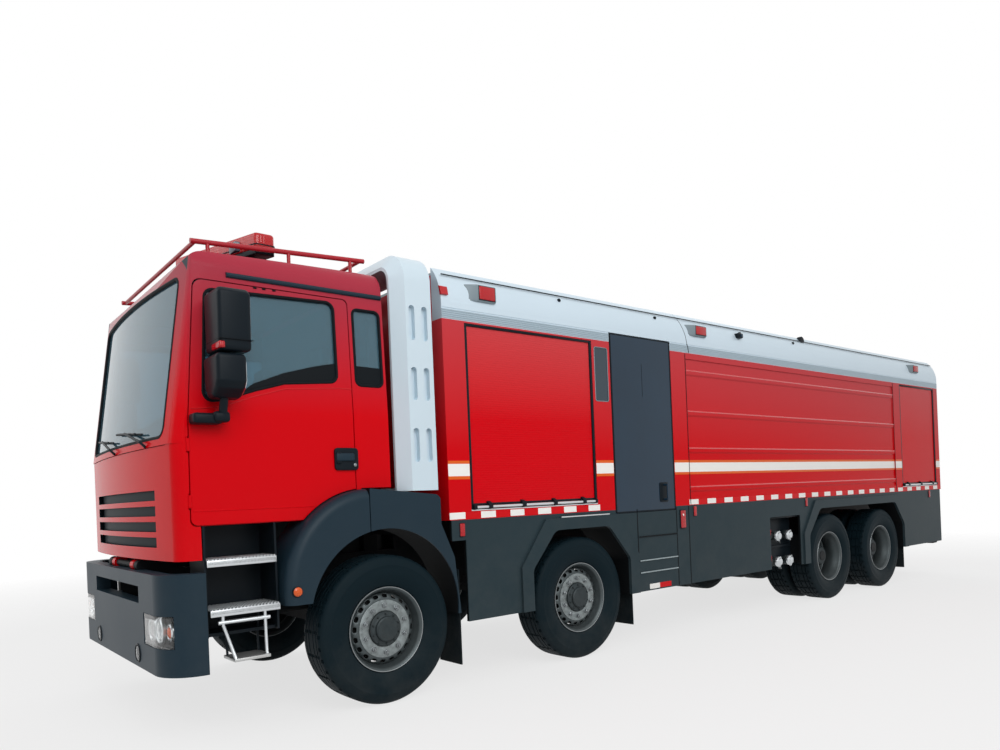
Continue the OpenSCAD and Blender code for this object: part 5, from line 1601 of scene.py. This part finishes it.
def gutterStrip(name, s0, s1):
    low, pitch = strip["low"], (strip["high"] - strip["low"]) / strip["ribs"]
    out = sideY + strip["proud"]
    outline = [(sideY - 0.006, strip["high"]), (sideY - 0.006, low)]
    for k in range(strip["ribs"]):
        z = low + k * pitch
        outline += [(out - 0.003, z + 0.001), (out, z + pitch * 0.22), (out, z + pitch * 0.72),
                    (out - 0.003, z + pitch - 0.001)]
    return crossPlate(name, outline, station(s1), station(s0), "bandGrey")


for k, (s0, s1) in enumerate(strip["runs"]):
    pair(gutterStrip("gutterStrip%dLeft" % (k + 1), s0, s1), "chassis")
print("coving fitted")

# front end: fog lamps and the fender's indicator
frontEnd = {"fog": (0.560, 0.520), "repeater": (0.690, 0.877),
            "bezel": [(.062, -.01), (.062, .004), (.054, .008), (.05, .002)],
            "lens": [(.05, -.002), (.047, .004), (.03, .008), (.006, .0095)]}


def frontPieces():
    parts = []
    for side in (1, -1):
        y, z = frontEnd["fog"][0] * side, frontEnd["fog"][1]
        spot = fromAhead("front_bumper", y, z)
        for rings, look in ((frontEnd["bezel"], "trimBlack"), (frontEnd["lens"], "clearLens")):
            parts.append(smooth(turnPiece(turnedOf("fog", look, rings, (0, 0, 0), 32), spot, forwards)))
    return join("frontFittings", parts)


carry(frontPieces(), "chassis")


def fenderRepeater():
    c, z = frontEnd["repeater"]
    spot = fromBeside("cab_fenders", axle[0] + c, z)
    y = spot.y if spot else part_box("cab_fenders")[1].y
    base = smooth(turnedOf("base", "trimBlack", [(.036, -.004), (.036, .004), (.032, .007), (.01, .007)],
                           (axle[0] + c, y, z), 32))
    lens = smooth(turnedOf("lens", "orangeLens",
                           [(.030, .004), (.030, .010), (.025, .015), (.012, .018), (.003, .0185)],
                           (axle[0] + c, y, z), 32))
    return join("repeaterLeft", [base, lens])


pair(fenderRepeater(), "cab")
print("front end fitted")

# crew seats: crowned cushions with sewn channels on a plain box
seat = {"inner": 0.300, "outer": 0.800, "cushion": (0.150, 0.640, 1.865, 2.010),
        "back": (0.150, 0.275, 1.960, 2.470), "rest": (0.165, 0.255, 2.480, 2.640), "lean": -7.0,
        "pivot": (0.20, 1.93), "roundness": 5.0, "pull": 0.010, "restInset": 0.12, "channel": (0.05, 0.012),
        "box": (0.20, 0.56, 0.03, 1.875), "stems": ((0.14, 2.43), (0.125, 2.53), 0.19, 0.007)}
# crown, sewn channels and the axis that each pad faces
pads = {"cushion": (0.020, (-0.35, 0.35), 2), "back": (0.022, (-0.5, 0.0, 0.5), 0), "rest": (0.015, (), 0)}


def padPiece(name, low, high, crown, channels, facing):
    deselect()
    low, high = Vector(low), Vector(high)
    mid, half = (low + high) / 2, (high - low) / 2
    bpy.ops.mesh.primitive_cube_add(size=2)
    obj = bpy.context.object
    obj.name = name
    bpy.ops.object.mode_set(mode="EDIT")
    bpy.ops.mesh.select_all(action="SELECT")
    bpy.ops.mesh.subdivide(number_cuts=15)
    bpy.ops.object.mode_set(mode="OBJECT")
    n, (wide, deep) = seat["roundness"], seat["channel"]
    for vert in obj.data.vertices:
        u = vert.co.copy()
        u /= sum(abs(a) ** n for a in u) ** (1 / n)
        along = 2 if facing == 0 else 0
        swell = crown * (1 - u.y ** 2) * (1 - u[along] ** 2) * max(u[facing], 0)
        seam = sum(math.exp(-((u[along] - c) / wide) ** 2) for c in channels) * deep * max(u[facing], 0)
        spot = Vector(a * h for a, h in zip(u, half))
        spot[facing] += swell - seam
        spot.y -= math.copysign(seat["pull"], u.y) * (1 - u[along] ** 2) * abs(u.y)
        vert.co = mid + spot
    modify(obj, "SUBSURF", levels=1, render_levels=1)
    outwards(obj)
    return smooth(obj, 80)


def leanBack(obj, pivot):
    lean = Matrix.Rotation(math.radians(seat["lean"]), 4, "Y")
    return turnPiece(obj, pivot, lean @ Matrix.Translation(-pivot))


def seatPieces(sideName, sign):
    made = []
    x = axle[0]
    y0, y1 = sorted((seat["inner"] * sign, seat["outer"] * sign))
    back, height = seat["pivot"]
    for part, (crown, channels, facing) in pads.items():
        c0, c1, low, high = seat[part]
        inset = seat["restInset"] if part == "rest" else 0.0
        high -= crown if facing == 2 else 0
        pad = padPiece("seat%s%s" % (part.title(), sideName), (x + c0, y0 + inset, low),
                       (x + c1, y1 - inset, high), crown, channels, facing)
        if part != "cushion":
            leanBack(pad, Vector((x + back, 0, height)))
        carry(dress(pad, "seatCloth"), "cab")
        made.append(pad)
    c0, c1, inset, top = seat["box"]
    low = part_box("cab_seats")[0].z
    parts = [boxOf("seatBox", "cabTrim", (x + c0, y0 + inset, low), (x + c1, y1 - inset, top), 0.015, 3)]
    (foot, footZ), (tip, tipZ), inset, radius = seat["stems"]
    for y in (y0 + inset, y1 - inset):
        parts.append(tubeOf("stem", "boltSteel", [(x + foot, y, footZ), (x + tip, y, tipZ)], radius))
    return made + [carry(join("seatBox" + sideName, parts), "cab")]


seatBits = seatPieces("Left", 1) + seatPieces("Right", -1)
for obj in seatBits:
    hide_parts("cab_seats")
print("seats padded")

# water monitor: bolted foot, handwheel and nozzle bands
monitor = {"spot": (station(2.830), 0.0), "foot": 3.341, "axis": 3.450, "bolts": 8, "boltReach": 0.092,
           "wheelSide": 0.185, "wheelHigh": 3.375, "wheel": 0.062,
           "bands": [(0.100, 0.046, 0.030), (0.672, 0.060, 0.026), (0.770, 0.060, 0.014),
                     (0.868, 0.060, 0.032)]}


def boltCircle(x, y, z, reach, count, size):
    made = []
    for k in range(count):
        angle = 2 * math.pi * (k + 0.5) / count
        place = (x + reach * math.cos(angle), y + reach * math.sin(angle), z)
        made.append(turnPiece(nutPiece("bolt", 0, 0, size), place, upwards))
    return made


def turretTrim():
    x, y = monitor["spot"]
    parts = boltCircle(x, y, monitor["foot"] - 0.001, monitor["boltReach"], monitor["bolts"], 0.008)
    side, high, reach = monitor["wheelSide"], monitor["wheelHigh"], monitor["wheel"]
    turns = [math.pi * k / 16 for k in range(32)]
    rim = [(x + reach * math.cos(a), side, high + reach * math.sin(a)) for a in turns]
    parts.append(tubeOf("wheelRim", "trimBlack", rim, 0.008, closed=True))
    for k in range(3):
        a = 2 * math.pi * k / 3
        spoke = [(x, side, high), (x + reach * math.cos(a), side, high + reach * math.sin(a))]
        parts.append(tubeOf("spoke", "brushedAlu", spoke, 0.005))
    shaft = turnedPiece("shaft", [(.020, 0), (.020, .050), (.012, .056), (.012, .128), (.008, .132)],
                        (x, side - 0.125, high), 24)
    parts.append(smooth(dress(shaft, "boltSteel")))
    return join("monitorTrim", parts)


def barrelTrim():
    x, y = monitor["spot"]
    parts = []
    for k, (out, reach, wide) in enumerate(monitor["bands"]):
        rings = [(reach - 0.004, 0), (reach + 0.0035, 0.003), (reach + 0.0035, wide - 0.003),
                 (reach - 0.004, wide)]
        band = turnedPiece("band", rings, (0, 0, 0), 40, closed=True)
        parts.append(smooth(dress(turnPiece(band, (x + out, y, monitor["axis"]), forwards),
                                  "trimBlack" if k == 3 else "brushedAlu"), 30))
    return join("nozzleTrim", parts)


carry(turretTrim(), "monitor_turret")
carry(barrelTrim(), "monitor_barrel")

# roof: hatch lid, deck joints and eyes
roof = {"hatch": (station(5.200), 0.0, 3.245), "lid": 0.270, "clamps": 6, "deck": 3.180,
        "joints": (1.75, 3.47, 6.40, 8.30), "half": 0.86}


def hatchTrim():
    x, y, z = roof["hatch"]
    lid = turnedPiece("lid", [(roof["lid"], -0.004), (roof["lid"], .010), (roof["lid"] - .012, .016),
                              (.16, .024), (.05, .028)], (0, 0, 0), 64)
    parts = [smooth(dress(turnPiece(lid, (x, y, z), upwards), "brushedAlu"), 30)]
    parts += boltCircle(x, y, z + 0.012, roof["lid"] - 0.030, roof["clamps"], 0.014)
    grip = [(x - 0.07, y, z + 0.02), (x - 0.07, y, z + 0.065), (x - 0.05, y, z + 0.08),
            (x + 0.05, y, z + 0.08), (x + 0.07, y, z + 0.065), (x + 0.07, y, z + 0.02)]
    parts.append(tubeOf("lidGrip", "trimBlack", grip, 0.009))
    parts.append(boxOf("lidHinge", "boltSteel", (x - 0.325, y - 0.07, z - 0.05),
                       (x - 0.245, y + 0.07, z + 0.012), 0.008))
    return join("hatchTrim", parts)


def deckTrim():
    parts = []
    half, z = roof["half"], roof["deck"]
    for s in roof["joints"]:
        parts.append(deckPlate("joint", rectangle(station(s) - 0.004, -half, station(s) + 0.004, half),
                               z - 0.001, z + 0.0012, "sealRubber"))
        for y in (-half + 0.04, half - 0.04):
            parts.append(boxOf("eye", "boltSteel", (station(s) - 0.10, y - 0.02, z - 0.002),
                               (station(s) - 0.04, y + 0.02, z + 0.012), 0.004))
    return join("deckTrim", parts)


carry(hatchTrim(), "chassis")
carry(deckTrim(), "chassis")
print("roof fitted")

# back: dashes under the shutter and high lamps
back = {"face": rearFace, "tape": 0.885, "lamps": (0.985, 1.145, 2.845, 2.895)}


def backTrim():
    parts = []
    face = back["face"]
    for y0, y1, look in dashes(-back["tape"], back["tape"], 0.02):
        outline = rectangle(y0, tape["low"], y1, tape["high"])
        parts.append(crossPlate("dash", outline, face - tape["thick"], face + 0.0002, look))
    y0, y1, low, high = back["lamps"]
    for sign in (1, -1):
        a, b = sorted((y0 * sign, y1 * sign))
        parts.append(boxOf("lampBase", "trimBlack", (face - 0.012, a, low), (face + 0.002, b, high), 0.004))
        parts.append(boxOf("lampLens", "redLens", (face - 0.026, a + 0.006, low + 0.006),
                           (face - 0.008, b - 0.006, high - 0.006), 0.006, 3))
    return join("backTrim", parts)


carry(backTrim(), "chassis")
print("back fitted")


def seenRays(tree):  # 1 for what the camera, metal and glass see
    path = addNode(tree, "ShaderNodeLightPath").outputs
    return either(tree, [path["Is Camera Ray"], path["Is Glossy Ray"], path["Is Transmission Ray"]])


floorLook = {"radius": 22, "tone": 0.50, "gloss": 0.9, "fade": (7.5, 15.0), "lift": 0.72}


# plain pale floor that fades into a white surround
def makeFloor():
    deselect()
    bpy.ops.mesh.primitive_circle_add(vertices=96, radius=floorLook["radius"], fill_type="NGON",
                                      location=(0, 0, 0))
    floor = bpy.context.object
    floor.name = "studioFloor"
    mat, tree, shader = newMaterial("studioFloor")
    shader.inputs["Base Color"].default_value = (*[floorLook["tone"]] * 3, 1)
    shader.inputs["Roughness"].default_value = floorLook["gloss"]
    clear = addNode(tree, "ShaderNodeBsdfTransparent")
    reach = addNode(tree, "ShaderNodeVectorMath", operation="LENGTH", in_0=objectCoord(tree)).outputs["Value"]
    white = addNode(tree, "ShaderNodeEmission")  # lifts the floor towards white where it is seen
    lift = addNode(tree, "ShaderNodeMixShader")
    tree.links.new(mathNode(tree, "MULTIPLY", seenRays(tree), floorLook["lift"]), lift.inputs[0])
    tree.links.new(shader.outputs[0], lift.inputs[1])
    tree.links.new(white.outputs[0], lift.inputs[2])
    mix = addNode(tree, "ShaderNodeMixShader")
    tree.links.new(ramp(tree, reach, *floorLook["fade"]), mix.inputs[0])
    tree.links.new(lift.outputs[0], mix.inputs[1])
    tree.links.new(clear.outputs[0], mix.inputs[2])
    tree.links.new(mix.outputs[0], tree.nodes["Material Output"].inputs["Surface"])
    floor.data.materials.append(mat)


studioSky = {"horizon": 0.44, "zenith": 0.26}  # soft light, stronger from above


def makeWorld():
    world = bpy.data.worlds.new("studioSky")
    bpy.context.scene.world = world
    world.use_nodes = True
    tree = world.node_tree
    back = tree.nodes["Background"]
    way = addNode(tree, "ShaderNodeTexCoord").outputs["Generated"]
    height = addNode(tree, "ShaderNodeSeparateXYZ", in_0=way).outputs[2]
    rise = mathNode(tree, "MULTIPLY", mathNode(tree, "MAXIMUM", height, 0.0), studioSky["zenith"])
    sky = mathNode(tree, "ADD", rise, studioSky["horizon"])
    strength = addNode(tree, "ShaderNodeMix", data_type="FLOAT", in_0=seenRays(tree), in_2=sky, in_3=1.0)
    tree.links.new(strength.outputs[0], back.inputs["Strength"])
    back.inputs["Color"].default_value = (1, 1, 1, 1)


studio = {"key": ((5.5, 10.0, 7.5), 9.0, 760), "fill": ((12.0, -3.0, 7.0), 8.0, 220),
          "rim": ((-11.0, -6.0, 8.0), 8.0, 380)}


def hangLamps():
    for name, (spot, size, power) in studio.items():
        data = bpy.data.lights.new(name + "Lamp", "AREA")
        data.shape = "DISK"
        data.size = size
        data.energy = power
        lamp = bpy.data.objects.new(name + "Lamp", data)
        bpy.context.scene.collection.objects.link(lamp)
        lamp.location = spot
        lamp.rotation_euler = (Vector((0.5, 0, 1.4)) - Vector(spot)).to_track_quat("-Z", "Y").to_euler()


makeFloor()
makeWorld()
hangLamps()
bpy.context.scene.view_settings.view_transform = "Standard"
print("studio lit")
